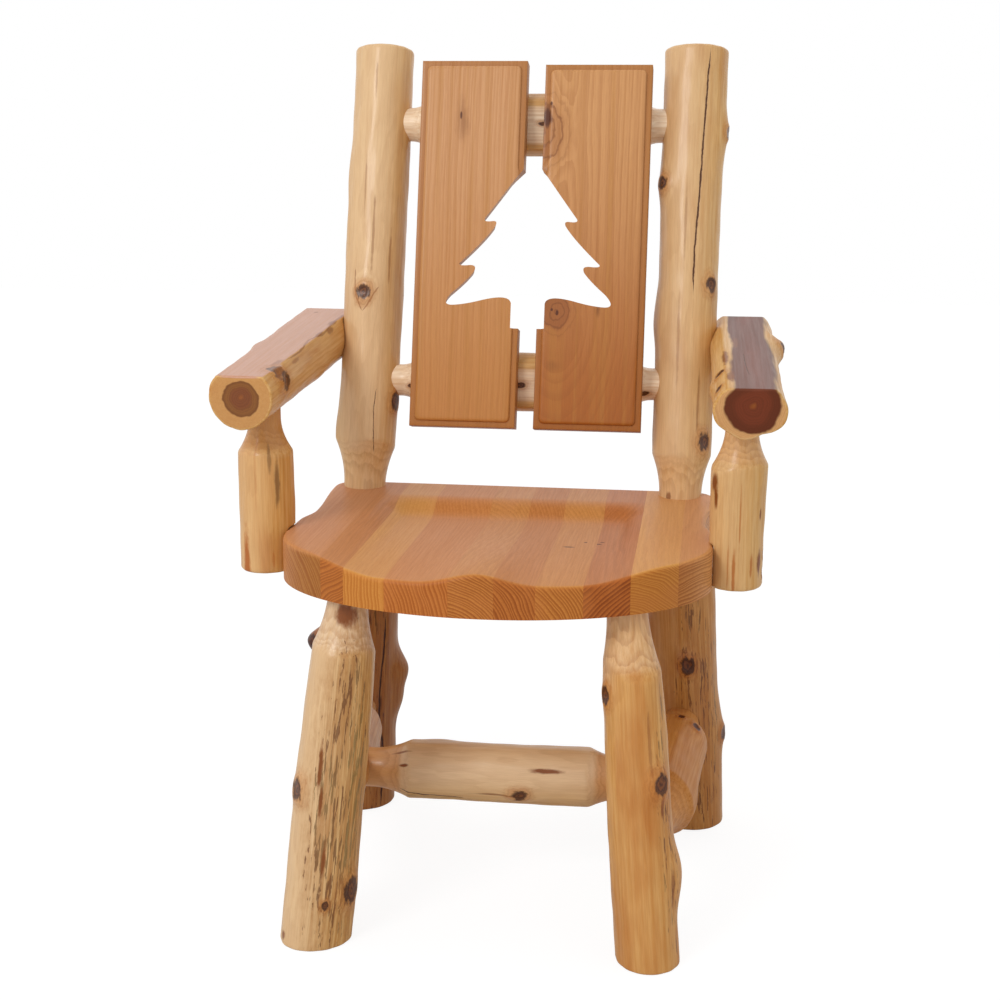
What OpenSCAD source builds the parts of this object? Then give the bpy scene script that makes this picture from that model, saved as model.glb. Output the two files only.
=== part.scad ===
// Log armchair: peeled pine logs tenoned into a saddled board seat, with two
// flat back slats that share a pine tree cut-out.
// Millimetres. X is left to right as seen from the front, Y runs to the back, Z is up.
// The origin is on the floor, under the middle of the chair.

/* [Seat] */
// Height of the seat's top above the floor
seat_h = 457; // [430:1:490]
// Thickness of the seat boards
seat_t = 50; // [44:1:60]
// Width of the seat
seat_w = 506; // [490:1:540]
// Depth of the seat, front to back
seat_d = 452; // [440:1:480]
// How far behind the origin the seat's back edge is
seat_back = 149; // [140:1:160]
// Depth of the half ellipse that rounds the seat's front
nose_d = 165; // [140:1:190]
// How far each side of the seat draws in behind the arm post
waist = 15; // [4:1:20]
// How far behind the arm post's back the waist is narrowest
waist_back = 52; // [35:1:70]
// Radius of the seat's back corners
corner_r = 30; // [15:1:34]
// Radius that eases the seat's top edge
seat_ease = 6; // [2:1:9]

/* [Saddle] */
// Depth of the scoop that the sitter's hips rest in
scoop_depth = 18; // [8:1:24]
// Depth of the two thigh hollows at the front edge
hollow_depth = 13; // [5:1:16]
// Width across the scoop at its back
scoop_back_w = 350; // [310:2:370]
// Width across the two thigh hollows at the front
hollow_front_w = 410; // [370:2:430]
// Run of the scoop's side slopes at its back
back_slope = 40; // [25:1:80]
// Run of the hollows' side slopes at the front
front_slope = 92; // [60:1:110]
// Distance from the seat's back edge to the top of the scoop's back wall
scoop_in = 75; // [65:1:90]
// Run of the scoop's back wall
scoop_wall = 58; // [40:1:80]
// Width of the ridge between the thigh hollows
ridge_w = 80; // [50:2:110]

/* [Back] */
// Angle that the back leans from upright
recline = 14.4; // [8:0.2:18]
// Length of a back post above the seat
post_len = 591; // [560:1:640]
// Diameter of the left back post
post_left_d = 79; // [74:1:84]
// Diameter of the right back post
post_right_d = 82; // [76:1:86]
// How far each back post stands in from the seat's side
post_in_x = 43; // [40:1:46]
// How far each back post stands in from the seat's back edge
post_in_y = 25.5; // [25:0.5:34]
// Radius that rounds the top of a post
post_round = 9; // [4:1:14]
// Height of the upper rail along the post
upper_rail_at = 482; // [440:1:500]
// Height of the lower rail along the post
lower_rail_at = 141; // [125:1:160]
// Diameter of the upper rail
upper_rail_d = 81; // [74:1:86]
// Diameter of the lower rail
lower_rail_d = 77; // [74:1:84]
// How far ahead of its centre each rail is cut flat
rail_flat = 27; // [23:1:31]

/* [Slats] */
// Width of a back slat
slat_w = 139; // [120:1:145]
// Height of a back slat
slat_h = 476; // [450:1:500]
// Thickness of a back slat
slat_t = 28; // [22:1:34]
// Gap between the two slats
slat_gap = 24; // [14:1:32]
// How far right of the middle the gap between the slats is
slat_shift = 4.5; // [-6:0.5:6]
// Where a slat's lower end is along the post
slat_at = 78; // [66:1:90]
// Radius that rounds a slat's front edges
slat_round = 9; // [3:1:12]

/* [Tree cut-out] */
// Where the foot of the trunk is along the post
tree_at = 208; // [200:1:220]
// Height of the whole tree
tree_h = 226; // [190:1:230]
// Width of the tree at its lowest branches
tree_w = 216; // [160:2:230]
// Width of the trunk
trunk_w = 44; // [34:1:60]

/* [Arms] */
// Height of an arm's flat top above the seat, at the front
arm_rise = 193; // [175:1:230]
// Angle that an arm rises to the back
arm_slope = 4.2; // [0:0.2:7]
// Length of an arm
arm_len = 428; // [415:1:450]
// How far behind the origin the arm's front end is
arm_front = -195; // [-215:1:-185]
// Width of the left arm
arm_left_w = 72; // [70:1:80]
// Width of the right arm
arm_right_w = 81; // [74:1:84]
// How far above its centre an arm is cut flat
arm_flat = 26; // [22:1:29]
// How far an arm's front end lies outside its post's centre
arm_out = 6; // [3:1:9]
// How far an arm's back end is turned in
arm_toe = 6; // [4:1:12]

/* [Arm posts] */
// Diameter of an arm post
arm_post_d = 66; // [62:1:72]
// How deep an arm post is cut flat against the seat's side
arm_post_cut = 4.6; // [3:0.2:7]
// How far an arm post stands behind the seat's widest line
arm_post_back = 23; // [20:1:40]
// Length of the flared neck at an arm post's top
arm_neck_l = 52; // [44:1:60]
// How far the flared neck widens at an arm post's top
arm_neck_out = 27; // [22:1:32]
// Length of an arm post's tenon
arm_tenon_l = 42; // [30:1:48]

/* [Legs] */
// Diameter of the left front leg
front_left_d = 80; // [74:1:86]
// Diameter of the right front leg
front_right_d = 75; // [72:1:84]
// Diameter of a rear leg at the floor
rear_foot_d = 98; // [88:1:102]
// Diameter of a rear leg at the seat
rear_top_d = 92; // [84:1:96]
// How far a front leg's mortise is in from the seat's side
front_in_x = 94; // [84:1:104]
// How far a front leg's mortise is behind the seat's front edge
front_in_y = 83.5; // [78:0.5:95]
// How far a front leg's foot stands outside its mortise
front_out_x = 35; // [20:1:45]
// How far a front leg's foot stands ahead of its mortise
front_out_y = 48.5; // [30:0.5:60]
// How far a rear leg's mortise is in from the seat's side
rear_in_x = 46; // [42:1:54]
// How far a rear leg's mortise is in from the seat's back edge
rear_in_y = 44.5; // [38:0.5:56]
// How far a rear leg's foot stands outside its mortise
rear_out_x = 24; // [10:1:34]
// How far a rear leg's foot stands behind its mortise
rear_out_y = 36; // [20:1:46]

/* [Stretchers] */
// Height of a side stretcher's centre at the front leg
side_front_h = 140; // [120:1:160]
// Height of a side stretcher's centre at the rear leg
side_rear_h = 156; // [135:1:180]
// How far outside the front leg's centre a side stretcher enters it
side_out = 8; // [0:1:10]
// Diameter of the left side stretcher
side_left_d = 80; // [72:1:86]
// Diameter of the right side stretcher
side_right_d = 84; // [76:1:88]
// How far behind the origin the cross stretcher is
cross_y = -85.5; // [-105:0.5:-55]
// Diameter of the cross stretcher
cross_d = 74; // [68:1:80]

/* [Joints] */
// Diameter of the tenons on the legs, posts and stretchers
tenon_d = 49; // [45:1:52]
// Diameter of the tenons on the rails and arm posts
small_tenon_d = 38; // [33:1:40]
// How far a tenon runs past the centre of the log that holds it
tenon_past = 10; // [4:1:13]
// Gap all round a tenon in its mortise
fit_gap = 0.15; // [0.1:0.05:0.3]
// Gap between a tenon's end and the bottom of its mortise
end_gap = 1; // [0.5:0.5:2]
// Wood left above a front leg's mortise
front_web = 13; // [10:1:16]
// Wood left between a rear leg's mortise and the post's mortise above it
rear_web = 6; // [4:1:10]
// Length of the flared neck below a large tenon
neck_l = 72; // [64:1:80]
// How far the flared neck widens below a large tenon
neck_out = 28; // [26:1:32]
// Length of the flared neck below a rail's tenon
rail_neck_l = 44; // [38:1:50]
// How far the flared neck widens below a rail's tenon
rail_neck_out = 29; // [26:1:32]
// How far outside a log's surface the neck of the log that enters it starts
mouth_gap = 3; // [2:0.5:6]

/* [Screws] */
// Diameter of a slat screw's shank
slat_screw_d = 5; // [4:0.5:6]
// Diameter of a slat screw's head
slat_head_d = 12; // [10:0.5:14]
// Distance between the two screws that hold a slat to a rail
slat_screw_gap = 64; // [40:2:80]
// How deep a slat screw bites into its slat
slat_bite = 18; // [12:1:20]
// Diameter of a lag screw's shank
lag_d = 8; // [6:0.5:9]
// Diameter of a lag screw's head
lag_head_d = 16; // [13:0.5:18]
// Thickness of a screw's head
head_t = 4; // [3:0.5:6]
// How deep a screw's head is sunk into the log
head_sink = 12; // [8:1:14]
// Distance between the two lag screws of an arm post
lag_gap = 22; // [20:1:24]
// How deep a lag screw bites into the seat or the back post
lag_bite = 32; // [20:1:34]

/* [Hidden] */
$fn = 48;

board_tones = ["#c9905a", "#b9733f", "#d9a862", "#c07f4c", "#c58a58",
               "#cf9a66", "#c98f63", "#bd8157", "#d5a35e", "#cfa066"];
log_tone = "#d2a468";
shaded_log_tone = "#c4935a";
slat_tone = "#cf8f56";
steel_tone = "#8f9195";

// The boards were glued up from random widths, given here from left to right.
// Together they fill the seat, so they all widen or narrow with it.
board_widths = [69, 30, 50, 73, 50, 45, 51, 50, 51, 37];

// Fineness of the curved faces.
log_sides = 22;
ring_step = 36;
board_rows = 20;
curve_steps = 7;

wide = 90;         // wider than any log
over = 20;         // how far a cut runs on past the surface that it opens
tip_ease = 3;      // chamfer on a tenon's end
screw_tip = 8;     // length of a screw's point

// Each knot is [place along the log, angle round it, lift, reach along, reach round].
// A shape is [ovalness, direction of its long way, waviness, where its waves start].
front_left_shape = [0.8, 20, 1.0, 40];
front_left_knots = [[181, 223, 3, 22, 26], [67, 339, 3, 20, 22], [300, 150, 2.5, 24, 26]];
front_right_shape = [0.6, 100, 1.2, 200];
front_right_knots = [[211, 313, 4, 22, 26], [312, 205, 3.5, 24, 26], [101, 2, 9, 36, 34]];
rear_left_shape = [1.0, 60, 1.4, 90];
rear_left_knots = [[200, 10, 17, 26, 22], [244, 193, 12, 28, 24], [90, 260, 3, 26, 28]];
rear_right_shape = [1.0, 150, 1.4, 300];
rear_right_knots = [[246, 281, 3, 22, 24], [130, 4, 6, 26, 24], [300, 120, 3, 26, 26]];
side_left_shape = [0.8, 30, 1.0, 130];
side_left_knots = [[140, 290, 3, 22, 26], [250, 40, 3, 22, 26]];
side_right_shape = [0.8, 110, 1.0, 250];
side_right_knots = [[251, 311, 2.5, 20, 24], [130, 20, 3, 28, 30]];
cross_shape = [0.6, 0, 0.9, 10];
cross_knots = [[231, 201, 2.5, 20, 26], [130, 60, 2, 22, 26]];
post_left_shape = [0.6, 90, 1.2, 160];
post_left_knots = [[254, 263, 3, 30, 34], [113, 345, 4, 26, 28], [420, 180, 3, 28, 30]];
post_right_shape = [0.6, 0, 1.0, 20];
post_right_knots = [[477, 355, 4.5, 24, 24], [406, 205, 5, 26, 26], [273, 319, 2, 22, 24],
                    [229, 182, 2.5, 42, 30], [110, 100, 2, 24, 26]];
upper_rail_shape = [0.5, 40, 1.0, 60];
upper_rail_knots = [[120, 60, 3, 22, 26], [300, 300, 3, 22, 26]];
lower_rail_shape = [0.5, 80, 1.0, 210];
lower_rail_knots = [[290, 50, 3, 22, 26], [120, 320, 3, 22, 26]];
arm_post_left_shape = [0.5, 70, 0.8, 30];
arm_post_left_knots = [[110, 150, 2, 20, 26]];
arm_post_right_shape = [0.5, 20, 0.8, 310];
arm_post_right_knots = [[125, 215, 1.5, 20, 26]];
arm_left_shape = [-0.5, 0, 0.8, 80];
arm_left_knots = [[46, 333, 2, 20, 24], [175, 215, 4, 26, 24], [250, 40, 2, 22, 24]];
arm_right_shape = [3.5, 0, 0.8, 190];
arm_right_knots = [[298, 349, 6, 22, 20], [110, 170, 3, 26, 28]];

// Places that follow from the sizes above.
half_w = seat_w / 2;
function sum_of(list, n) = n == 0 ? 0 : list[n - 1] + sum_of(list, n - 1);
board_count = len(board_widths);
board_joints = [for (n = [1:board_count - 1])
    sum_of(board_widths, n) * seat_w / sum_of(board_widths, board_count) - half_w];
seat_front = seat_back - seat_d;
seat_under = seat_h - seat_t;
nose_y = seat_front + nose_d;
arm_post_y = nose_y + arm_post_back;
arm_post_x = half_w + arm_post_d / 2 - arm_post_cut;
waist_from = arm_post_y + arm_post_d / 2;
waist_y = waist_from + waist_back;
corner_y = seat_back - corner_r;
corner_x = half_w - corner_r;
scoop_top = seat_back - scoop_in;
scoop_foot = scoop_top - scoop_wall;
rear_mortise = (seat_t - rear_web) / 2;

post_x = half_w - post_in_x;
post_y = seat_back - post_in_y;
tenon_r = tenon_d / 2;
small_r = small_tenon_d / 2;

front_top = [half_w - front_in_x, seat_front + front_in_y, seat_under];
front_foot = front_top + [front_out_x, -front_out_y, -seat_under];
rear_top = [half_w - rear_in_x, seat_back - rear_in_y, seat_under];
rear_foot = rear_top + [rear_out_x, rear_out_y, -seat_under];
function leg_at(foot, top, h) = foot + (top - foot) * h / seat_under;
side_front = leg_at(front_foot, front_top, side_front_h) + [side_out, 0, 0];
side_rear = leg_at(rear_foot, rear_top, side_rear_h);
cross_end = side_front
    + (side_rear - side_front) * (cross_y - side_front.y) / (side_rear.y - side_front.y);

// Where an arm's centre line lies, and where it passes the back post.
function arm_z(y) =
    seat_h + arm_rise - arm_flat / cos(arm_slope) + (y - arm_front) * tan(arm_slope);
arm_back = arm_front + arm_len * cos(arm_slope);
function arm_x(y) = arm_post_x + arm_out - arm_toe * (y - arm_front) / (arm_back - arm_front);
pass_y = (post_y + (arm_z(0) - seat_h) * tan(recline)) / (1 - tan(arm_slope) * tan(recline));

// Sets a child that is drawn up the Z axis so that it runs from p towards q.
function unit(v) = v / norm(v);
function turned(p, q, side) =
    let (z = unit(q - p), x = unit(side - z * (side * z)), y = cross(z, x))
    [[x.x, y.x, z.x, p.x], [x.y, y.y, z.y, p.y], [x.z, y.z, z.z, p.z], [0, 0, 0, 1]];
module lay(p, q, side = [1, 0, 0]) multmatrix(turned(p, q, side)) children();
function flip(p, s) = [p.x * s, p.y, p.z];

// Sets a child in the leaning back: X across, Y to the back, Z up along the posts.
module in_back() translate([0, post_y, seat_h]) rotate([-recline, 0, 0]) children();

// How far a tenon may run into a board, along its own axis, with none of its end past depth.
function sunk(depth, lean, r) = depth / cos(lean) - r * tan(lean);
function lean_of(p, q) = acos(unit(q - p).z);

// A peeled log: a tapered round with a slight oval, slow waves and knots.
function nearest(a) = a > 180 ? a - 360 : a < -180 ? a + 360 : a;
function lift(knots, s, a, i = 0) =
    i == len(knots) ? 0
    : knots[i][2] * exp(-pow((s - knots[i][0]) / knots[i][3], 2)
                        - pow(nearest(a - knots[i][1]) / knots[i][4], 2))
      + lift(knots, s, a, i + 1);
function log_r(s, a, length, low_r, high_r, shape, knots) =
    low_r + (high_r - low_r) * s / length
    + shape[0] * cos(2 * (a - shape[1]))
    + shape[2] * (0.6 * sin(2 * a + 0.8 * s + shape[3]) + 0.4 * sin(3 * a - 1.3 * s + 2 * shape[3]))
    + lift(knots, s, a);

module log_body(from, to, length, low_r, high_r, shape, knots, grow = 0) {
    rings = ceil((to - from) / ring_step);
    points = [for (i = [0:rings]) for (j = [0:log_sides - 1])
        let (s = from + (to - from) * i / rings,
             a = 360 * j / log_sides,
             r = log_r(s, a, length, low_r, high_r, shape, knots) + grow)
        [r * cos(a), r * sin(a), s]];
    walls = [for (i = [0:rings - 1]) for (j = [0:log_sides - 1])
        let (a = i * log_sides + j, b = i * log_sides + (j + 1) % log_sides)
        each [[a, a + log_sides, b], [b, a + log_sides, b + log_sides]]];
    foot = [for (j = [0:log_sides - 1]) j];
    head = [for (j = [log_sides - 1:-1:0]) rings * log_sides + j];
    polyhedron(points, concat([foot, head], walls));
}

// Half profiles, as [radius, place along the log], of what a log's end is turned down to.
// A tenon runs on from its mouth, way +1 or -1, and its neck flares back to the log's surface.
function neck(mouth, way, length, r, flare_l, flare_out) = concat(
    [[0, mouth + way * length],
     [r - tip_ease, mouth + way * length],
     [r, mouth + way * (length - tip_ease)],
     [r, mouth]],
    [for (i = [1:curve_steps]) let (t = i / curve_steps)
        [r + flare_out * t * t, mouth - way * flare_l * t]],
    [[wide, mouth - way * flare_l]]);
function large_neck(mouth, way, length) = neck(mouth, way, length, tenon_r, neck_l, neck_out);
function rail_neck(mouth, way, length) =
    neck(mouth, way, length, small_r, rail_neck_l, rail_neck_out);
function round_end(at, r) = concat(
    [[0, at]],
    [for (a = [0:15:90]) [r - post_round * (1 - sin(a)), at - post_round * (1 - cos(a))]],
    [[r + post_round, at - 4 * post_round], [wide, at - 4 * post_round]]);
function whole_end(at) = [[0, at], [wide, at]];
function reversed(list) = [for (i = [len(list) - 1:-1:0]) list[i]];
module turned_to(low, high) rotate_extrude() polygon(concat(low, reversed(high)));

// Mortises, as solids to take away.
module bore(from, to, r) translate([0, 0, from]) cylinder(h = to - from, r = r + fit_gap);

// Seat outline: a half ellipse in front, a flat for each arm post, a waist and round corners.
function front_y(x) = nose_y - nose_d * sqrt(max(0, 1 - pow(x / half_w, 2)));
function arc_drop(d, r) = d > 0 ? r - sqrt(max(0, r * r - d * d)) : 0;
function back_y(x) = seat_back - arc_drop(abs(x) - corner_x, corner_r);
function side_x(y) =
    y < nose_y ? half_w * sqrt(max(0, 1 - pow((nose_y - y) / nose_d, 2)))
    : y < waist_from ? half_w
    : y < waist_y ? half_w - waist * (1 - cos(180 * (y - waist_from) / waist_back)) / 2
    : y < corner_y ? half_w - waist * (1 + cos(180 * (y - waist_y) / (corner_y - waist_y))) / 2
    : half_w - arc_drop(y - corner_y, corner_r);

// Distance of a point from the outline, which is all that the eased edge needs.
function nose_slope(x) = nose_d * x / (half_w * half_w * sqrt(max(0.0001, 1 - pow(x / half_w, 2))));
function edge_gap(x, y) =
    x > corner_x && y > corner_y ? corner_r - norm([x - corner_x, y - corner_y])
    : y < nose_y ? (y - front_y(x)) / norm([1, nose_slope(x)])
    : min(side_x(y) - x, seat_back - y);
function ease(d, r) = d < r ? arc_drop(r - d, r) : 0;

// Saddle: one scoop at the back that parts into two thigh hollows with a ridge between them.
function ramp(t) = let (c = min(1, max(0, t))) c * c * (3 - 2 * c);
function mix(a, b, t) = a + (b - a) * t;
function saddle(x, y) =
    let (ahead = ramp((scoop_foot - y) / (scoop_foot - seat_front)),
         reach = mix(scoop_back_w, hollow_front_w, ahead) / 2,
         side = ramp((reach - abs(x)) / mix(back_slope, front_slope, ahead)),
         wall = ramp((scoop_top - y) / scoop_wall),
         ridge = exp(-pow(2 * x / ridge_w, 2)))
    side * wall * mix(scoop_depth, hollow_depth * (1 - ridge), ahead);
function seat_top(x, y) = seat_h - saddle(x, y) - ease(edge_gap(abs(x), y), seat_ease);

// A board is a patch of the seat between its joints. An outer board ends in the outline.
eased = [0, 0.15, 0.5, 1.1] * seat_ease;
rows = concat(eased / seat_d,
              [for (i = [1:board_rows - 1]) i / board_rows],
              reversed([for (d = eased) 1 - d / seat_d]));
function inner_point(x, v) = [x, mix(front_y(x), back_y(x), v)];
function outer_point(joint, u, v) =
    let (front_x = (joint + half_w) / 2,
         back_x = corner_x + corner_r * cos(45),
         side_y = mix(front_y(front_x), back_y(back_x), v),
         on_joint = inner_point(joint, v),
         on_side = [side_x(side_y), side_y],
         on_front = inner_point(mix(joint, front_x, u), 0),
         on_back = inner_point(mix(joint, back_x, u), 1),
         low = mix(inner_point(joint, 0), inner_point(front_x, 0), u),
         high = mix(inner_point(joint, 1), inner_point(back_x, 1), u))
    mix(on_joint, on_side, u) + mix(on_front, on_back, v) - mix(low, high, v);

module board_patch(columns, place) {
    last = len(rows) - 1;
    count = len(columns) * len(rows);
    top = [for (u = columns) for (v = rows) let (p = place(u, v)) [p.x, p.y, seat_top(p.x, p.y)]];
    function at(i, j) = i * len(rows) + j;
    rim = concat([for (i = [0:len(columns) - 1]) at(i, 0)],
                 [for (j = [1:last]) at(len(columns) - 1, j)],
                 [for (i = [len(columns) - 2:-1:0]) at(i, last)],
                 [for (j = [last - 1:-1:1]) at(0, j)]);
    under = [for (p = top) [p.x, p.y, seat_under]];
    faces = [for (i = [0:len(columns) - 2]) for (j = [0:last - 1])
        let (a = at(i, j), b = at(i, j + 1), c = at(i + 1, j), d = at(i + 1, j + 1))
        each [[a, b, c], [c, b, d], [count + a, count + c, count + b], [count + c, count + d, count + b]]];
    walls = [for (k = [0:len(rim) - 1]) let (a = rim[k], b = rim[(k + 1) % len(rim)])
        each [[a, b, count + a], [b, count + b, count + a]]];
    polyhedron(concat(top, under), concat(faces, walls));
}

module inner_board(left, right)
    board_patch([0, 0.5, 1], function(u, v) inner_point(mix(left, right, u), v));

module outer_board(joint) {
    near = eased / (half_w - joint);
    board_patch(concat([0, 0.3, 0.6], reversed([for (d = near) 1 - d])),
                function(u, v) outer_point(joint, u, v));
}

// A screw with its head's seat at the origin and its point down the Z axis.
module screw(shank_d, head_d, length) rotate_extrude() polygon([
    [0, head_t], [head_d / 2, head_t], [head_d / 2, 0], [shank_d / 2, 0],
    [shank_d / 2, screw_tip - length], [0, -length]]);
module screw_hole(shank_d, head_d, length) {
    bore(-length - end_gap, 1, shank_d / 2);
    bore(0, head_sink + over, head_d / 2 + fit_gap);
}

// Slat screws run forward from each rail's back. Their count is two to a slat at each rail.
function slat_x(s) = slat_shift + s * (slat_gap + slat_w) / 2;
slat_screws = [for (upper = [true, false]) for (s = [-1, 1]) for (t = [-1, 1])
    [slat_x(s) + t * slat_screw_gap / 2, upper ? upper_rail_d / 2 : lower_rail_d / 2,
     upper ? upper_rail_at : lower_rail_at]];
function slat_screw_l(k) = slat_screws[k].y - head_sink + rail_flat + slat_bite;
module at_slat_screw(k)
    in_back() translate([slat_screws[k].x, slat_screws[k].y - head_sink, slat_screws[k].z])
        rotate([-90, 0, 0]) children();

// Lag screws run in from an arm post's or an arm's outer side.
post_lag_seat = arm_post_x + arm_post_d / 2 - head_sink;
post_lag_l = post_lag_seat - half_w + lag_bite;
module at_post_lag(s, t)
    translate([s * post_lag_seat, arm_post_y, seat_h - (seat_t + t * lag_gap) / 2])
        rotate([0, s * 90, 0]) children();
function arm_lag_seat(arm_w) = arm_x(pass_y) + arm_w / 2 - head_sink;
function arm_lag_l(arm_w, post_d) = arm_lag_seat(arm_w) - post_x - post_d / 2 + lag_bite;
module at_arm_lag(s, arm_w)
    translate([s * arm_lag_seat(arm_w), pass_y, arm_z(pass_y)]) rotate([0, s * 90, 0]) children();

// Seat
module seat_board(n) {
    left = n == 1 ? -half_w : board_joints[n - 2];
    right = n == board_count ? half_w : board_joints[n - 1];
    color(board_tones[n - 1]) difference() {
        if (n == 1) mirror([1, 0, 0]) outer_board(-right);
        else if (n == board_count) outer_board(left);
        else inner_board(left, right);
        for (s = [-1, 1]) {
            if (meets(s * front_top.x, left, right)) leg_mortise(s, front_foot, front_top, front_tenon_l);
            if (meets(s * rear_top.x, left, right)) leg_mortise(s, rear_foot, rear_top, rear_tenon_l);
            if (meets(s * post_x, left, right))
                in_back() translate([s * post_x, 0, 0]) bore(-post_tenon_l - end_gap, over, tenon_r);
            if (meets(s * half_w, left, right)) for (t = [-1, 1])
                at_post_lag(s, t) screw_hole(lag_d, lag_head_d, post_lag_l);
        }
    }
}
function meets(x, left, right) = x > left - tenon_d && x < right + tenon_d;

// Legs
front_tenon_l = sunk(seat_t - front_web, lean_of(front_foot, front_top), tenon_r);
rear_tenon_l = sunk(rear_mortise, lean_of(rear_foot, rear_top), tenon_r);
post_tenon_l = sunk(rear_mortise, recline, tenon_r);

module leg_mortise(s, foot, top, length)
    lay(flip(foot, s), flip(top, s))
        bore(norm(top - foot) - over, norm(top - foot) + length + end_gap, tenon_r);

module leg(s, foot, top, foot_r, top_r, shape, knots, tenon_l) {
    length = norm(top - foot);
    difference() {
        lay(flip(foot, s), flip(top, s)) intersection() {
            log_body(-ring_step, length + tenon_l + over, length, foot_r, top_r, shape, knots);
            turned_to(whole_end(-2 * ring_step), large_neck(length, 1, tenon_l));
        }
        translate([-seat_w, -seat_w, -seat_h]) cube([2 * seat_w, 2 * seat_w, seat_h]);
        children();
    }
}

module side_mortise(s, at_front, leg_r) {
    length = norm(side_rear - side_front);
    lay(flip(side_front, s), flip(side_rear, s))
        if (at_front) bore(-tenon_past - end_gap, leg_r + over, tenon_r);
        else bore(length - leg_r - over, length + tenon_past + end_gap, tenon_r);
}

module front_leg_left() color(log_tone)
    leg(-1, front_foot, front_top, front_left_d / 2, front_left_d / 2,
        front_left_shape, front_left_knots, front_tenon_l)
        side_mortise(-1, true, front_left_d / 2);
module front_leg_right() color(log_tone)
    leg(1, front_foot, front_top, front_right_d / 2, front_right_d / 2,
        front_right_shape, front_right_knots, front_tenon_l)
        side_mortise(1, true, front_right_d / 2);
module rear_leg_left() color(shaded_log_tone)
    leg(-1, rear_foot, rear_top, rear_foot_d / 2, rear_top_d / 2,
        rear_left_shape, rear_left_knots, rear_tenon_l)
        side_mortise(-1, false, rear_foot_d / 2);
module rear_leg_right() color(shaded_log_tone)
    leg(1, rear_foot, rear_top, rear_foot_d / 2, rear_top_d / 2,
        rear_right_shape, rear_right_knots, rear_tenon_l)
        side_mortise(1, false, rear_foot_d / 2);

// Stretchers
module side_stretcher(s, d, leg_r, shape, knots) {
    length = norm(side_rear - side_front);
    front_mouth = leg_r + mouth_gap;
    rear_mouth = length - rear_foot_d / 2 - mouth_gap;
    difference() {
        lay(flip(side_front, s), flip(side_rear, s)) intersection() {
            log_body(-over, length + over, length, d / 2, d / 2, shape, knots);
            turned_to(large_neck(front_mouth, -1, front_mouth + tenon_past),
                      large_neck(rear_mouth, 1, length - rear_mouth + tenon_past));
        }
        lay(flip(cross_end, s), flip(cross_end, -s), [0, 1, 0])
            bore(-tenon_past - end_gap, d / 2 + over, tenon_r);
    }
}

module side_stretcher_left() color(shaded_log_tone)
    side_stretcher(-1, side_left_d, front_left_d / 2, side_left_shape, side_left_knots);
module side_stretcher_right() color(shaded_log_tone)
    side_stretcher(1, side_right_d, front_right_d / 2, side_right_shape, side_right_knots);

module cross_stretcher() color(log_tone) {
    length = 2 * cross_end.x;
    left_mouth = side_left_d / 2 + mouth_gap;
    right_mouth = length - side_right_d / 2 - mouth_gap;
    lay(flip(cross_end, -1), cross_end, [0, 1, 0]) intersection() {
        log_body(-over, length + over, length, cross_d / 2, cross_d / 2, cross_shape, cross_knots);
        turned_to(large_neck(left_mouth, -1, left_mouth + tenon_past),
                  large_neck(right_mouth, 1, length - right_mouth + tenon_past));
    }
}

// Back
module post_log(s, d, shape, knots, grow = 0)
    in_back() translate([s * post_x, 0, 0])
        log_body(-over - post_tenon_l, post_len + over, post_len, d / 2, d / 2, shape, knots, grow);

module rail_mortises(s, r)
    in_back() for (h = [upper_rail_at, lower_rail_at])
        translate([s * post_x, 0, h]) rotate([0, -s * 90, 0]) bore(-tenon_past - end_gap, r + over, small_r);

module back_post(s, d, arm_w, shape, knots)
    difference() {
        intersection() {
            post_log(s, d, shape, knots);
            in_back() translate([s * post_x, 0, 0])
                turned_to(large_neck(0, -1, post_tenon_l), round_end(post_len, d / 2));
        }
        rail_mortises(s, d / 2);
        at_arm_lag(s, arm_w) screw_hole(lag_d, lag_head_d, arm_lag_l(arm_w, d));
    }

module back_post_left() color(log_tone)
    back_post(-1, post_left_d, arm_left_w, post_left_shape, post_left_knots);
module back_post_right() color(log_tone)
    back_post(1, post_right_d, arm_right_w, post_right_shape, post_right_knots);

module rail(h, d, shape, knots, screws) {
    length = 2 * post_x;
    left_mouth = post_left_d / 2 + mouth_gap;
    right_mouth = length - post_right_d / 2 - mouth_gap;
    difference() {
        in_back() difference() {
            lay([-post_x, 0, h], [post_x, 0, h], [0, 1, 0]) intersection() {
                log_body(-over, length + over, length, d / 2, d / 2, shape, knots);
                turned_to(rail_neck(left_mouth, -1, left_mouth + tenon_past),
                          rail_neck(right_mouth, 1, length - right_mouth + tenon_past));
            }
            translate([-post_x, -rail_flat - wide, h - wide]) cube([length, wide, 2 * wide]);
        }
        for (k = screws) at_slat_screw(k) screw_hole(slat_screw_d, slat_head_d, slat_screw_l(k));
    }
}

module upper_back_rail() color(log_tone)
    rail(upper_rail_at, upper_rail_d, upper_rail_shape, upper_rail_knots, [0:3]);
module lower_back_rail() color(log_tone)
    rail(lower_rail_at, lower_rail_d, lower_rail_shape, lower_rail_knots, [4:7]);

// Slats
function arc(c, r, from, to) = [for (i = [0:curve_steps])
    let (a = mix(from, to, i / curve_steps)) c + r * [cos(a), sin(a)]];
function bend(p, q, r) = [for (i = [1:curve_steps])
    let (t = i / curve_steps) mix(mix(p, q, t), mix(q, r, t), t)];
function eased_front(length) = concat(
    [[length, 0], [0, 0]],
    arc([slat_round, slat_round - slat_t], slat_round, 180, 270),
    arc([length - slat_round, slat_round - slat_t], slat_round, 270, 360));

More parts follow.
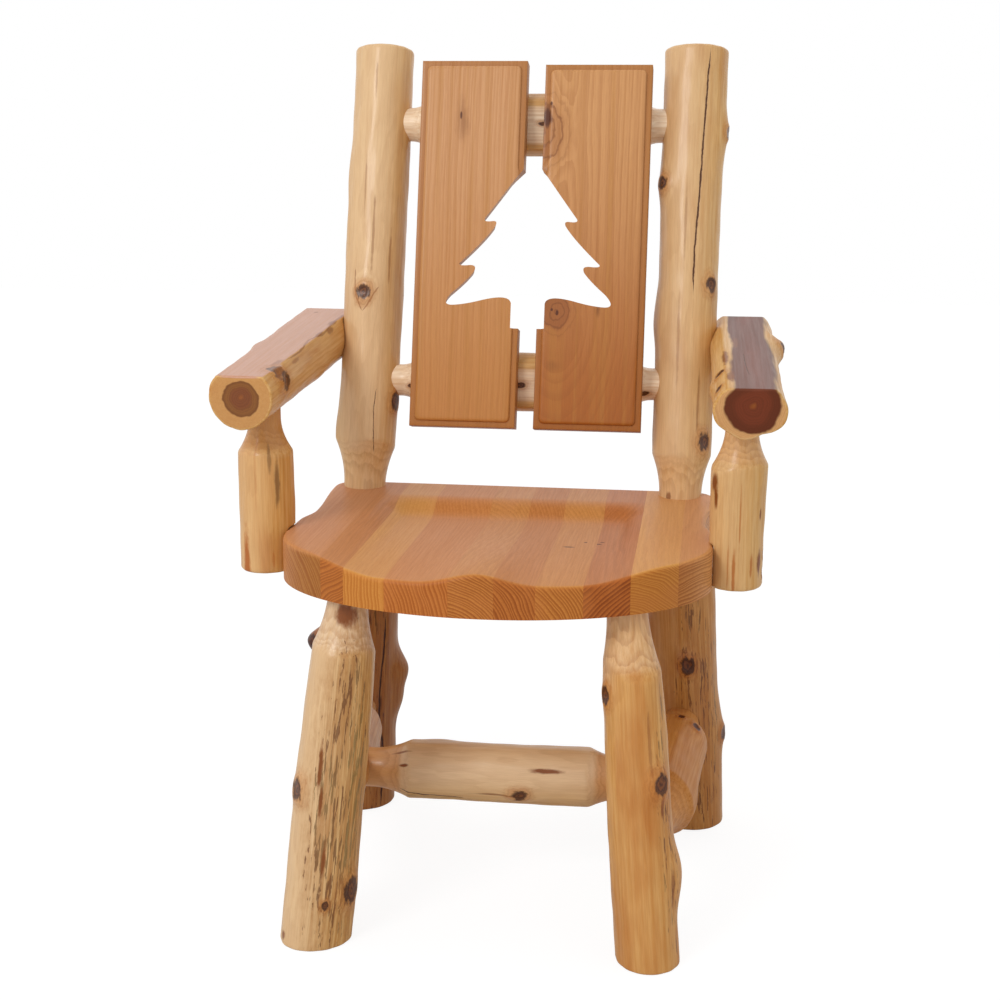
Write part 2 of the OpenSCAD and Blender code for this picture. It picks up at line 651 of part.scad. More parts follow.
// Half of a tree with three tiers of drooping branches, its points in millimetres out from
// the trunk's centre and up from its foot on a tree of the width and height given here.
drawn_w = 216;
drawn_h = 226;
function tree_side() = concat(
    [[0, 226]],
    bend([0, 226], [28, 186], [60, 143]),
    bend([60, 143], [63, 138], [52, 139]),
    bend([52, 139], [42, 141], [46, 133]),
    bend([46, 133], [57, 116], [91, 84]),
    bend([91, 84], [94, 80], [81, 81]),
    bend([81, 81], [67, 83], [72, 73]),
    bend([72, 73], [80, 62], [100, 45]),
    bend([100, 45], [116, 28], [98, 29]),
    bend([98, 29], [82, 30], [60, 36]),
    bend([60, 36], [24, 45], [22, 32]));
module tree() {
    branches = [for (p = tree_side()) [p.x * tree_w / drawn_w, p.y * tree_h / drawn_h]];
    for (s = [-1, 1]) scale([s, 1]) {
        polygon(concat(branches, [[0, 32 * tree_h / drawn_h]]));
        square([trunk_w / 2, tree_h / 4]);
    }
}

module back_slat(s, screws) color(slat_tone)
    difference() {
        in_back() difference() {
            intersection() {
                translate([slat_x(s) - slat_w / 2, -rail_flat, slat_at])
                    linear_extrude(slat_h) polygon(eased_front(slat_w));
                translate([slat_x(s) - slat_w / 2, -rail_flat, slat_at]) rotate([90, 0, 90])
                    linear_extrude(slat_w) polygon([for (p = eased_front(slat_h)) [p.y, p.x]]);
            }
            translate([slat_shift, 0, tree_at]) rotate([90, 0, 0])
                linear_extrude(rail_flat + slat_t + over) tree();
        }
        for (k = screws) at_slat_screw(k) screw_hole(slat_screw_d, slat_head_d, slat_screw_l(k));
    }

module back_slat_left() back_slat(-1, [0, 1, 4, 5]);
module back_slat_right() back_slat(1, [2, 3, 6, 7]);

// Arms
function arm_r(arm_w, shape) = arm_w / 2 - shape[0];
function arm_low(arm_w, shape, knots) =
    arm_z(arm_post_y) - log_r(arm_post_y - arm_front, 90, arm_len, arm_r(arm_w, shape),
                              arm_r(arm_w, shape), shape, knots) - mouth_gap;

module arm(s, arm_w, shape, knots, post_d, post_shape, post_knots)
    difference() {
        lay([s * arm_x(arm_front), arm_front, arm_z(arm_front)],
            [s * arm_x(arm_back), arm_back, arm_z(arm_back)]) difference() {
            log_body(0, arm_len, arm_len, arm_r(arm_w, shape), arm_r(arm_w, shape), shape, knots);
            translate([-wide, -arm_flat - wide, -over]) cube([2 * wide, wide, arm_len + 2 * over]);
        }
        post_log(s, post_d, post_shape, post_knots, fit_gap);
        translate([s * arm_post_x, arm_post_y, 0])
            bore(arm_low(arm_w, shape, knots) - over,
                 arm_low(arm_w, shape, knots) + arm_tenon_l + end_gap, small_r);
        at_arm_lag(s, arm_w) screw_hole(lag_d, lag_head_d, arm_lag_l(arm_w, post_d));
    }

module arm_left() color(log_tone)
    arm(-1, arm_left_w, arm_left_shape, arm_left_knots, post_left_d, post_left_shape, post_left_knots);
module arm_right() color(log_tone)
    arm(1, arm_right_w, arm_right_shape, arm_right_knots,
        post_right_d, post_right_shape, post_right_knots);

module arm_post(s, mouth, shape, knots) {
    length = mouth - seat_under;
    difference() {
        translate([s * arm_post_x, arm_post_y, seat_under]) intersection() {
            log_body(0, length + arm_tenon_l + over, length, arm_post_d / 2, arm_post_d / 2, shape, knots);
            turned_to(whole_end(-over), neck(length, 1, arm_tenon_l, small_r, arm_neck_l, arm_neck_out));
        }
        translate([s > 0 ? 0 : -half_w, -half_w, 0]) cube([half_w, seat_w, seat_h]);
        for (t = [-1, 1]) at_post_lag(s, t) screw_hole(lag_d, lag_head_d, post_lag_l);
    }
}

module arm_post_left() color(log_tone)
    arm_post(-1, arm_low(arm_left_w, arm_left_shape, arm_left_knots),
             arm_post_left_shape, arm_post_left_knots);
module arm_post_right() color(log_tone)
    arm_post(1, arm_low(arm_right_w, arm_right_shape, arm_right_knots),
             arm_post_right_shape, arm_post_right_knots);

// Screws
module slat_screw(n) color(steel_tone)
    at_slat_screw(n - 1) screw(slat_screw_d, slat_head_d, slat_screw_l(n - 1));
module arm_post_lag(n) color(steel_tone)
    at_post_lag(n < 3 ? -1 : 1, n % 2 == 1 ? -1 : 1) screw(lag_d, lag_head_d, post_lag_l);
module arm_lag_left() color(steel_tone)
    at_arm_lag(-1, arm_left_w) screw(lag_d, lag_head_d, arm_lag_l(arm_left_w, post_left_d));
module arm_lag_right() color(steel_tone)
    at_arm_lag(1, arm_right_w) screw(lag_d, lag_head_d, arm_lag_l(arm_right_w, post_right_d));

for (n = [1:10]) seat_board(n);
front_leg_left();
front_leg_right();
rear_leg_left();
rear_leg_right();
side_stretcher_left();
side_stretcher_right();
cross_stretcher();
back_post_left();
back_post_right();
upper_back_rail();
lower_back_rail();
back_slat_left();
back_slat_right();
arm_post_left();
arm_post_right();
arm_left();
arm_right();
for (n = [1:8]) slat_screw(n);
for (n = [1:4]) arm_post_lag(n);
arm_lag_left();
arm_lag_right();
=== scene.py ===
import math

import bmesh
import bpy
import numpy as np
from mathutils import Matrix, Vector
from mathutils.geometry import delaunay_2d_cdt


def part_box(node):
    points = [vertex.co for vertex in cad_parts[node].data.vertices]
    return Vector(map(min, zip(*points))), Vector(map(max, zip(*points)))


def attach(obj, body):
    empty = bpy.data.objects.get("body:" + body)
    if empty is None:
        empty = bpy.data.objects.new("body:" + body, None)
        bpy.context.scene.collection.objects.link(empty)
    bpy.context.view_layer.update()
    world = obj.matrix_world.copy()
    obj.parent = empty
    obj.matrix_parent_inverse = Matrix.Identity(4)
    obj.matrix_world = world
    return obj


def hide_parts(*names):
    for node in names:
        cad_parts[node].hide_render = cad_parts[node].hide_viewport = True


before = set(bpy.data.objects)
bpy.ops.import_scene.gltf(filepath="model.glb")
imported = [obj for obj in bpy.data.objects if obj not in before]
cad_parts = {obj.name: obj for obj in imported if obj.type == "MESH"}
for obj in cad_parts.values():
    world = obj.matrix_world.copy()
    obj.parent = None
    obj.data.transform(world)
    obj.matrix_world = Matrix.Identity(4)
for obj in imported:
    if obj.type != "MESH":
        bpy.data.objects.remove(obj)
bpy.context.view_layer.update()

# Lengths are millimetres until a mesh is made, and metres from there on.
# X runs to the right, Y to the back and Z up, as in the frame. Angles are degrees.
mm = 0.001


def tone(red, green, blue):
    # A colour as a picture editor shows it, made linear for the shaders.
    def linear(value):
        value /= 255
        return value / 12.92 if value <= 0.04045 else ((value + 0.055) / 1.055) ** 2.4
    return (linear(red), linear(green), linear(blue), 1.0)


def putInScene(name, data):
    thing = bpy.data.objects.new(name, data)
    bpy.context.scene.collection.objects.link(thing)
    return thing


photoCamera = {
    "place": (0.24732, -1.99199, 0.93046),
    "turn": 7.46,      # to the left of straight ahead
    "tilt": 12.89,     # down
    "roll": 0.27,
    "lens": 59.17,
    "sensor": 36.0,
}


def makeCamera():
    data = bpy.data.cameras.new("photoCamera")
    data.lens = photoCamera["lens"]
    data.sensor_width = photoCamera["sensor"]
    camera = putInScene("photoCamera", data)
    place = Matrix.Translation(photoCamera["place"])
    turns = ((photoCamera["turn"], "Z"), (90 - photoCamera["tilt"], "X"), (photoCamera["roll"], "Z"))
    for angle, axis in turns:
        place = place @ Matrix.Rotation(math.radians(angle), 4, axis)
    camera.matrix_world = place
    bpy.context.scene.camera = camera


makeCamera()
print("camera placed")


# The chair's driving sizes, the same ones that its pieces were built from.
chair = {
    "seatTop": 457, "seatThick": 50, "seatWidth": 506, "seatDepth": 452, "seatBack": 149,
    "nose": 165, "waist": 9, "waistBack": 52, "corner": 30, "ease": 6,
    "scoopDepth": 18, "hollowDepth": 13, "scoopBackWidth": 350, "hollowFrontWidth": 410,
    "backSlope": 40, "frontSlope": 92, "scoopIn": 75, "scoopWall": 58, "ridgeWidth": 80,
    "recline": 14.4, "postX": 210, "postY": 123.5, "postLength": 591, "postRound": 5, "postDrop": 5,
    "upperRail": 482, "lowerRail": 141, "railFlat": 27,
    "armRise": 193, "armSlope": 4.2, "armLength": 428, "armFront": -195, "armFlat": 26,
    "armOut": 6, "armToe": 6, "armPostX": 281.4, "armPostY": -115, "armPostD": 66,
    "frontLeg": {"foot": (194, -268), "top": (159, -219.5), "tenon": 33},
    "rearLeg": {"foot": (231, 140.5), "top": (207, 104.5), "tenon": 18},
    "sideFrontHeight": 140, "sideRearHeight": 156, "sideOut": 8, "crossY": -85.5,
    "tenonPast": 10, "mouthGap": 3, "postTenon": 15, "armPostTenon": 42,
    "postRadii": (39.5, 41), "crossRadii": (40, 42), "rearLegR": 49,
    "footEase": 2.5, "armEase": 2.5, "armPostEase": 4,
}
halfWidth = chair["seatWidth"] / 2
seatFront = chair["seatBack"] - chair["seatDepth"]
seatUnder = chair["seatTop"] - chair["seatThick"]
noseY = seatFront + chair["nose"]
lean = math.radians(chair["recline"])
armSlope = math.radians(chair["armSlope"])


def flip(point, side):
    return point * (side, 1, 1)


def onLeg(leg, side, height):
    # A place on a leg's middle line, at a height above the floor.
    foot = np.array([*chair[leg]["foot"], 0.0])
    top = np.array([*chair[leg]["top"], seatUnder])
    return flip(foot + (top - foot) * height / seatUnder, side)


def inBack(x, depth, along):
    # A place in the leaning back: depth is towards the back, along is up the posts.
    return np.array([
        x,
        chair["postY"] + depth * math.cos(lean) + along * math.sin(lean),
        chair["seatTop"] - depth * math.sin(lean) + along * math.cos(lean)])


def armAxis(y):
    ahead = y - chair["armFront"]
    level = chair["seatTop"] + chair["armRise"] - chair["armFlat"] / math.cos(armSlope)
    toe = chair["armToe"] * ahead / (chair["armLength"] * math.cos(armSlope))
    return np.array([chair["armPostX"] + chair["armOut"] - toe, y, level + ahead * math.tan(armSlope)])


def sine(angle):
    return np.sin(np.radians(angle))


def cosine(angle):
    return np.cos(np.radians(angle))


def nearest(angle):
    return (angle + 180) % 360 - 180


def peeledRadius(log, along, around):
    # The same tapered, wavy round that the frame's logs have, with its knots.
    ovalness, longWay, wave, phase = log["shape"]
    radius = log["lowR"] + (log["highR"] - log["lowR"]) * along / log["length"]
    radius = radius + ovalness * cosine(2 * (around - longWay))
    radius = radius + wave * (0.6 * sine(2 * around + 0.8 * along + phase)
                              + 0.4 * sine(3 * around - 1.3 * along + 2 * phase))
    for place, angle, lift, reachAlong, reachAround in log["bumps"]:
        far = ((along - place) / reachAlong) ** 2 + (nearest(around - angle) / reachAround) ** 2
        radius = radius + lift * np.exp(-far)
    return radius


handwork = {
    "facets": 13, "facetDepth": 0.45, "facetMean": 0.64,
    "drift": 0.9, "driftLength": 61, "shiver": 0.5, "shiverLength": 23,
    "ripple": 0.3, "rippleLength": 9.5, "rippleFade": 31,
    "knotLong": 1.2, "collar": 1.3, "collarAt": 1.25, "collarReach": 0.5, "sunk": 0.9, "sunkReach": 0.8,
    "grooveDepth": 0.5, "grooveReach": 1.6,
}


def knifeMarks(log, along, around):
    # Long shallow facets of the drawknife, and a slow ripple, from the log's own seed.
    seed = log["look"]["seed"]
    turn = np.radians(around)
    drift = handwork["drift"] * np.sin(along / handwork["driftLength"] + seed)
    drift = drift + handwork["shiver"] * np.sin(along / handwork["shiverLength"] + 2.3 * seed)
    facets = np.abs(np.sin(handwork["facets"] / 2 * turn + drift)) - handwork["facetMean"]
    ripple = np.sin(along / handwork["rippleLength"] + 3 * np.sin(2 * turn + seed))
    ripple = ripple * np.sin(along / handwork["rippleFade"] + 4 * turn + seed)
    return handwork["facetDepth"] * facets + handwork["ripple"] * ripple


def knotRelief(log, along, around):
    # A collar round each visible knot, and its cut face a little sunk inside.
    relief = 0
    for place, angle, size in log["look"]["eyes"]:
        across = np.radians(nearest(around - angle)) * log["lowR"]
        reach = np.sqrt(across ** 2 + ((along - place) / handwork["knotLong"]) ** 2) / size
        collar = np.exp(-((reach - handwork["collarAt"]) / handwork["collarReach"]) ** 2)
        face = np.exp(-(reach / handwork["sunkReach"]) ** 4)
        relief = relief + handwork["collar"] * collar - handwork["sunk"] * face
    return relief


def crackRelief(log, along, around):
    groove = 0
    for width, *path in log["look"]["cracks"]:
        places, angles = zip(*path)
        across = np.radians(nearest(around - np.interp(along, places, angles))) * log["lowR"]
        inside = (along > places[0]) & (along < places[-1])
        depth = inside * width * handwork["grooveDepth"]
        groove = groove - depth * np.exp(-(across / handwork["grooveReach"]) ** 2)
    return groove


logMesh = {
    "sides": 84, "step": 3.0, "tipEase": 3.0, "easeTurns": (0, 18, 36, 54, 72),
    "neckBlend": 0.35, "flatBlend": 0.55, "beyond": 200.0,     # beyond: larger than any log
    "creaseStep": 1.1, "creaseRows": 6, "levelReach": 70, "dropReach": 60, "sharpAngle": 38,
}


def softer(first, second, blend):
    # The smaller of two radii, with the crease between them rounded a little.
    return np.minimum(first, second) - blend * np.log1p(np.exp(-np.abs(first - second) / blend))


def turnedRadius(end, along):
    # Radius left by the tenon cutter: a straight tenon, then a neck that flares to the log.
    back = (end["mouth"] - along) * end["way"]
    flare = end["tenonR"] + end["neckOut"] * np.clip(back / end["neckLength"], 0, 1) ** 2
    return np.where(back > end["neckLength"], logMesh["beyond"], flare)


def logSurface(log, along, around):
    radius = peeledRadius(log, along, around)
    radius = radius + knifeMarks(log, along, around)
    radius = radius + knotRelief(log, along, around) + crackRelief(log, along, around)
    for end in log["ends"]:
        if end["kind"] == "tenon":
            radius = softer(radius, turnedRadius(end, along), logMesh["neckBlend"])
    if "flat" in log:
        facing = cosine(around - log["flat"]["angle"])
        plane = np.where(facing > 0.2, log["flat"]["far"] / np.maximum(facing, 0.2), logMesh["beyond"])
        radius = softer(radius, plane, logMesh["flatBlend"])
    return radius


def logFrame(log):
    # The log's own axes, with Z along it, and its origin.
    z = log["to"] - log["from"]
    z = z / np.linalg.norm(z)
    side = np.array(log["side"], float)
    x = side - z * side.dot(z)
    x = x / np.linalg.norm(x)
    return np.array([x, np.cross(z, x), z]), log["from"]


def ringPlan(log):
    # Places of the rings along the log, and how far each is drawn in to ease an end.
    def eased(end, way):
        return [(end["at"] + way * end["ease"] * (1 - cosine(turn)), end["ease"] * (1 - sine(turn)))
                for turn in logMesh["easeTurns"]]
    low, high = log["ends"]
    start = low["at"] + low["ease"]
    stop = high["at"] - high["ease"]
    count = max(2, round((stop - start) / logMesh["step"]))
    middle = [(start + (stop - start) * i / count, 0) for i in range(count + 1)]
    return np.array(eased(low, 1) + middle + eased(high, -1)[::-1])


def sideAngles(log):
    seam = log["seam"]
    angles = [seam + 360 * i / logMesh["sides"] for i in range(logMesh["sides"] + 1)]
    if "flat" in log:  # more of them where the flat meets the round
        half = math.degrees(math.acos(min(0.99, log["flat"]["far"] / (log["lowR"] + 0.5))))
        rows = logMesh["creaseRows"]
        near = [logMesh["creaseStep"] * k for k in range(-rows, rows + 1)]
        for crease in (log["flat"]["angle"] - half, log["flat"]["angle"] + half):
            crease = seam + (crease - seam) % 360
            angles += [crease + step for step in near if seam < crease + step < seam + 360]
    return np.array(sorted(set(round(a, 3) for a in angles)))


def store(mesh, name, domain, values):
    data = mesh.attributes.get(name) or mesh.attributes.new(name, "FLOAT_VECTOR", domain)
    data.data.foreach_set("vector", np.asarray(values, np.float32).ravel())


def makeLog(name, log, carve=None):
    axes, origin = logFrame(log)
    angles = sideAngles(log)
    plan = ringPlan(log)
    rings, count = len(plan), len(angles) - 1
    around, along = np.meshgrid(angles[:-1], plan[:, 0])
    radius = logSurface(log, along, around) - plan[:, 1:]
    if log["ends"][0]["kind"] == "floor":  # the foot is sawn level, not square
        tilt = radius * (cosine(around) * axes[0][2] + sine(around) * axes[1][2])
        along = along - tilt / axes[2][2] * np.clip(1 - along / logMesh["levelReach"], 0, 1)
    if "topDrop" in log:  # a post's top is sawn lower in front
        reach = np.clip((along - log["length"]) / logMesh["dropReach"] + 1, 0, 1)
        along = along - log["topDrop"] * (1 - sine(around)) / 2 * reach
    points = np.stack([radius * cosine(around), radius * sine(around), along], -1) @ axes + origin
    if carve:
        points = carve(points)
    verts = np.vstack([points.reshape(-1, 3), points[0].mean(0), points[-1].mean(0)]) * mm
    grid = np.arange(rings * count).reshape(rings, count)
    beside = np.roll(grid, -1, 1)
    quads = np.stack([grid[:-1], beside[:-1], beside[1:], grid[1:]], -1).reshape(-1, 4)
    foot = np.stack([np.full(count, rings * count), beside[0], grid[0]], -1)
    head = np.stack([np.full(count, rings * count + 1), grid[-1], beside[-1]], -1)
    mesh = bpy.data.meshes.new(name)
    mesh.from_pydata(verts.tolist(), [], quads.tolist() + foot.tolist() + head.tolist())
    # Each corner keeps its angle and place on the bark side, and whether it is on a sawn end.
    spread = np.tile(np.stack([angles[:-1], angles[1:], angles[1:], angles[:-1]], -1), (rings - 1, 1))
    bark = np.stack([spread, along.ravel()[quads], np.zeros(quads.shape)], -1)
    store(mesh, "skin", "CORNER", np.vstack([bark.reshape(-1, 3), np.tile((0, 0, 1), (6 * count, 1))]))
    screws = [screw for screw, host in screwHosts.items() if host == name]
    if screws:
        mesh.validate()
        mesh = sinkScrews(name, mesh, screws)
    # Each point keeps its place in the log's own axes, which the grain follows.
    places = np.array([v.co for v in mesh.vertices])
    store(mesh, "wood", "POINT", (places / mm - origin) @ axes.T)
    finishPiece(name, mesh, logMesh["sharpAngle"], logMaterial(name, log))


screwHosts = {"slat_screw_%d" % k: "upper_back_rail" if k < 5 else "lower_back_rail" for k in range(1, 9)}
for k in range(1, 5):
    screwHosts["arm_post_lag_%d" % k] = "arm_post_left" if k < 3 else "arm_post_right"
screwHosts.update({"arm_lag_left": "arm_left", "arm_lag_right": "arm_right"})
screwHoles = {"slatHead": 12.6, "lagHead": 16.6, "headThick": 4, "past": 40, "sides": 32}


def sinkScrews(name, mesh, screws):
    # Bores the wide holes that the screws' heads sit in, each in line with its own screw.
    holes = bpy.data.meshes.new(name + "Holes")
    work = bmesh.new()
    count = screwHoles["sides"]
    for screw in screws:
        inSlat = screw.startswith("slat")
        outward = 1 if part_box(screw)[0].x > 0 else -1
        out = Vector(inBack(0, 1, 0) - inBack(0, 0, 0)) if inSlat else Vector((outward, 0, 0))
        points = np.array([v.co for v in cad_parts[screw].data.vertices])
        reach = points @ np.array(out)
        head = Vector(points[reach > reach.max() - 1e-4].mean(0))
        width = screwHoles["slatHead" if inSlat else "lagHead"]
        side = out.cross(Vector((1, 0, 0) if inSlat else (0, 0, 1))).normalized()
        up = out.cross(side)
        turns = [2 * math.pi * k / count for k in range(count)]
        spokes = [side * math.cos(turn) + up * math.sin(turn) for turn in turns]
        low, high = ([work.verts.new(head + out * depth * mm + spoke * width / 2 * mm) for spoke in spokes]
                     for depth in (-screwHoles["headThick"], screwHoles["past"]))
        work.faces.new(low[::-1])
        work.faces.new(high)
        for k in range(count):
            after = (k + 1) % count
            work.faces.new((low[k], low[after], high[after], high[k]))
    bmesh.ops.recalc_face_normals(work, faces=work.faces)
    work.to_mesh(holes)
    work.free()
    store(holes, "skin", "CORNER", [(0, 0, 1)] * len(holes.loops))
    drill = putInScene(name + "Holes", holes)
    wood = putInScene(name + "Solid", mesh)
    cut = wood.modifiers.new("holes", "BOOLEAN")
    cut.object = drill
    cut.solver = "EXACT"
    bpy.context.view_layer.update()
    graph = bpy.context.evaluated_depsgraph_get()
    bored = bpy.data.meshes.new_from_object(wood.evaluated_get(graph), preserve_all_data_layers=True,
                                            depsgraph=graph)
    for thing in (drill, wood):
        bpy.data.objects.remove(thing)
    return bored


def finishPiece(name, mesh, sharpAngle, material):
    mesh.validate()
    mesh.shade_smooth()
    mesh.set_sharp_from_angle(angle=math.radians(sharpAngle))
    piece = putInScene(name + "_look", mesh)
    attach(piece, "root")
    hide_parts(name)
    mesh.materials.append(material)


# What each tenon cutter leaves: the tenon's radius, and how long and how flared its neck is.
cutters = {
    "large": {"tenonR": 24.5, "neckLength": 72, "neckOut": 28},
    "small": {"tenonR": 19, "neckLength": 44, "neckOut": 29},
    "post": {"tenonR": 27.5, "neckLength": 80, "neckOut": 25},
    "armPost": {"tenonR": 19, "neckOut": 27},     # each arm post has its own length of neck
}


def tenon(way, mouth, length, cutter, **own):
    return {"kind": "tenon", "way": way, "mouth": mouth, "at": mouth + way * length,
            "ease": logMesh["tipEase"], **cutters[cutter], **own}


def tenonPair(length, low, high, cutter, **own):
    # The tenons of a log between two others, whose own radii are low and high.
    low += chair["mouthGap"]
    high += chair["mouthGap"]
    return [tenon(-1, low, low + chair["tenonPast"], cutter, **own),
            tenon(1, length - high, high + chair["tenonPast"], cutter, **own)]


def sawn(at, ease):
    return {"kind": "sawn", "at": at, "ease": ease}


sapTones = {
    "pale": tone(222, 178, 114), "honey": tone(202, 146, 72), "warm": tone(188, 120, 44),
    "cut": tone(226, 186, 134), "paintedHighlightCream": tone(228, 194, 152), "line": tone(160, 96, 42),
    "heart": tone(142, 84, 46), "heartLine": tone(88, 46, 24), "eye": tone(124, 72, 30),
    "eyeLine": tone(74, 38, 14), "rim": tone(60, 28, 8), "halo": tone(190, 118, 46),
    "stain": tone(132, 72, 24), "flame": tone(180, 106, 40), "soot": tone(120, 88, 52),
    "end": tone(208, 160, 106), "fleck": tone(100, 54, 22), "bast": tone(170, 116, 60),
    "mould": tone(134, 110, 62), "crack": tone(84, 44, 20), "sawDust": tone(240, 220, 186),
    "dust": tone(150, 104, 62),
}
# The look of a log that asks for nothing of its own. Places are along the log, and angles round it.
plainLook = {
    # The highlight side is a painted highlight, a paler band where the key lamp falls; the shade multiplies
    # the whole log.
    "warmth": 0.3, "shade": tone(255, 255, 255), "finish": {}, "paintedHighlightSide": None,
    # Bare wood of flats and necks, and sawn ends.
    "cut": sapTones["cut"], "cutShare": 0.75, "cutFibre": 0.45, "cutLines": 0.12, "paintedSheenUp": False,
    "barkLines": 0.1, "end": sapTones["end"], "endLines": 0.12,
    # Heartwood: its radius, its edge, and a belt inside it.
    "heart": 15, "heartEdge": 7.0, "heartBlur": 0.8, "heartTone": sapTones["heart"], "heartLines": 0.2,
    "belt": sapTones["heartLine"], "beltShare": 0.5, "pith": (0, 0, 0),
    # Knots are (place, angle, size). Stains are (place, angle, half length, half width, strength, tone).
    # Cracks and veins are (width, then places and angles along their path).
    "eyes": [], "stains": [], "veins": [], "cracks": [], "flecks": None, "mould": None,
}


def newLog(start, stop, widths, shape, bumps, look, **own):
    # Shape is ovalness, the angle of its long way, the waves' height and their phase.
    # Bumps are (place, angle, height, reach along, reach around).
    log = {"from": start, "to": stop, "length": float(np.linalg.norm(stop - start)), "side": (1, 0, 0),
           "seam": 90, "lowR": widths[0] / 2, "highR": widths[1] / 2, "shape": shape, "bumps": bumps,
           "look": {**plainLook, **look}}
    return {**log, **own}


def legLog(leg, side, widths, shape, bumps, look):
    log = newLog(onLeg(leg, side, 0), onLeg(leg, side, seatUnder), widths, shape, bumps, look)
    log["ends"] = [{"kind": "floor", "at": 0, "ease": chair["footEase"]},
                   tenon(1, log["length"], chair[leg]["tenon"], "large", **look.get("neck", {}))]
    return log


def postLog(widths, shape, bumps, look):
    low, high = look["stand"]
    return newLog(inBack(low, 0, 0), inBack(high, 0, chair["postLength"]), widths, shape, bumps, look,
                  length=chair["postLength"], topDrop=chair["postDrop"],
                  ends=[tenon(-1, 0, chair["postTenon"], "post"),
                        sawn(chair["postLength"], chair["postRound"])])


def railLog(along, width, shape, bumps, look):
    # Its ends hang a little higher than the frame's rail: left, right, and the necks' radius.
    left, right, neckR = look["hang"]
    return newLog(inBack(-chair["postX"], 0, along + left), inBack(chair["postX"], 0, along + right),
                  (width, width), shape, bumps, look, side=(0, 1, 0), seam=0,
                  flat={"angle": 180, "far": chair["railFlat"]},
                  ends=tenonPair(2 * chair["postX"], *chair["postRadii"], "small", tenonR=neckR))


def sideEnds(side):
    front = onLeg("frontLeg", 1, chair["sideFrontHeight"]) + (chair["sideOut"], 0, 0)
    return flip(front, side), onLeg("rearLeg", side, chair["sideRearHeight"])


def sideLog(side, width, legWidth, shape, bumps, look):
    front, rear = sideEnds(side)
    log = newLog(front, rear, (width, width), shape, bumps, look, seam=180 if side > 0 else 0)
    log["ends"] = tenonPair(log["length"], legWidth / 2, chair["rearLegR"], "large")
    return log


def crossLog(width, shape, bumps, look):
    # It hangs lower than the frame's stretcher by the two drops, left and right.
    front, rear = sideEnds(1)
    end = front + (rear - front) * (chair["crossY"] - front[1]) / (rear[1] - front[1])
    left, right = (end - (0, 0, drop) for drop in look["drop"])
    return newLog(flip(left, -1), right, (width, width), shape, bumps, look, side=(0, 1, 0), seam=0,
                  ends=tenonPair(2 * end[0], *chair["crossRadii"], "large"))


def armLog(side, width, shape, bumps, look):
    back = chair["armFront"] + chair["armLength"] * math.cos(armSlope)
    low = width - 2 * shape[0]
    return newLog(flip(armAxis(chair["armFront"]), side), flip(armAxis(back), side),
                  (low, low + 2 * look["swell"]), shape, bumps, look,
                  length=chair["armLength"], flat={"angle": 270, "far": chair["armFlat"]},
                  ends=[sawn(0, chair["armEase"]), sawn(chair["armLength"], chair["armEase"])])


def armPostLog(side, arm, shape, bumps, look):
    down = peeledRadius(arm, chair["armPostY"] - chair["armFront"], 90.0)
    mouth = armAxis(chair["armPostY"])[2] - down - chair["mouthGap"] - seatUnder
    start = np.array([side * chair["armPostX"], chair["armPostY"], seatUnder])
    top = tenon(1, mouth, chair["armPostTenon"], "armPost", neckLength=look["neckLength"])
    return newLog(start, start + (0, 0, mouth), (chair["armPostD"], chair["armPostD"]), shape, bumps, look,
                  length=mouth, ends=[sawn(-look["below"], chair["armPostEase"]), top])


postLeft = postLog(
    (79, 80), (0.6, 90, 1.2, 160),
    [(254, 263, 3, 30, 34), (113, 345, 3, 26, 28), (420, 180, 2, 28, 30), (70, 185, 3.5, 40, 40)],
    {"seed": 1, "stand": (-213, -207.5), "eyes": [(254, 263, 7.5), (113, 341, 9)],
     "warmth": 0.1, "paintedHighlightSide": (262, 0.75), "cracks": [(0.55, (40, 300), (90, 292), (128, 296))],
     "veins": [(1.4, (228, 262), (240, 254), (262, 246), (286, 242)),
               (1.4, (228, 262), (236, 270), (250, 280), (262, 290))],
     "stains": [(330, 275, 60, 2.2, 0.5), (395, 255, 45, 1.6, 0.4), (300, 310, 40, 2, 0.5),
                (540, 268, 30, 1.5, 0.4)]})
postRight = postLog(
    (74, 81), (0.6, 0, 1.0, 20),
    [(477, 355, 4.5, 24, 24), (406, 205, 5, 26, 26), (273, 319, 2, 22, 24), (229, 182, 5, 36, 34),
     (110, 100, 2, 24, 26)],
    {"seed": 2, "stand": (208.5, 210.5), "warmth": 0.6, "paintedHighlightSide": (246, 0.6),
     "eyes": [(477, 352, 6), (406, 212, 6.5), (273, 319, 7.5), (69, 320, 9)],
     "cracks": [(1.5, (255, 282), (304, 281), (380, 286), (454, 290), (583, 298))],
     "stains": [(-3, 238, 8, 6, 0.8), (120, 300, 50, 2, 0.5), (200, 255, 70, 2.5, 0.35),
                (350, 262, 60, 2, 0.35)]})
armLeft = armLog(
    -1, 74, (-0.5, 0, 0.8, 80), [(46, 333, 2, 20, 24), (175, 215, 4, 26, 24), (250, 40, 2, 22, 24)],
    {"seed": 3, "swell": 4.5, "eyes": [(44, 324, 10), (57, 347, 11)], "warmth": 0.55,
     "heart": 22, "heartEdge": 2.5, "heartTone": tone(134, 78, 42), "belt": tone(146, 98, 46),
     "beltShare": 0.85, "heartLines": 0.0, "endLines": 0.0, "barkLines": 0.05,
     # The flat's mauve cut colour, spread over every face that points up, is a painted sheen of the lacquer.
     "cut": tone(198, 144, 118), "cutShare": 0.95, "cutLines": 0.0, "cutFibre": 0.1, "paintedSheenUp": True,
     "veins": [(1.6, (96, 315), (150, 322), (205, 316), (262, 324), (330, 318), (400, 322))],
     "stains": [(70, 312, 26, 4, 0.6), (292, 326, 18, 5, 0.75), (325, 318, 20, 4, 0.7),
                (372, 330, 14, 5, 0.6), (250, 320, 22, 3, 0.7), (120, 330, 18, 3, 0.5),
                (396, 246, 4, 5, 0.7), (228, 208, 14, 5, 0.7, "flame")]})
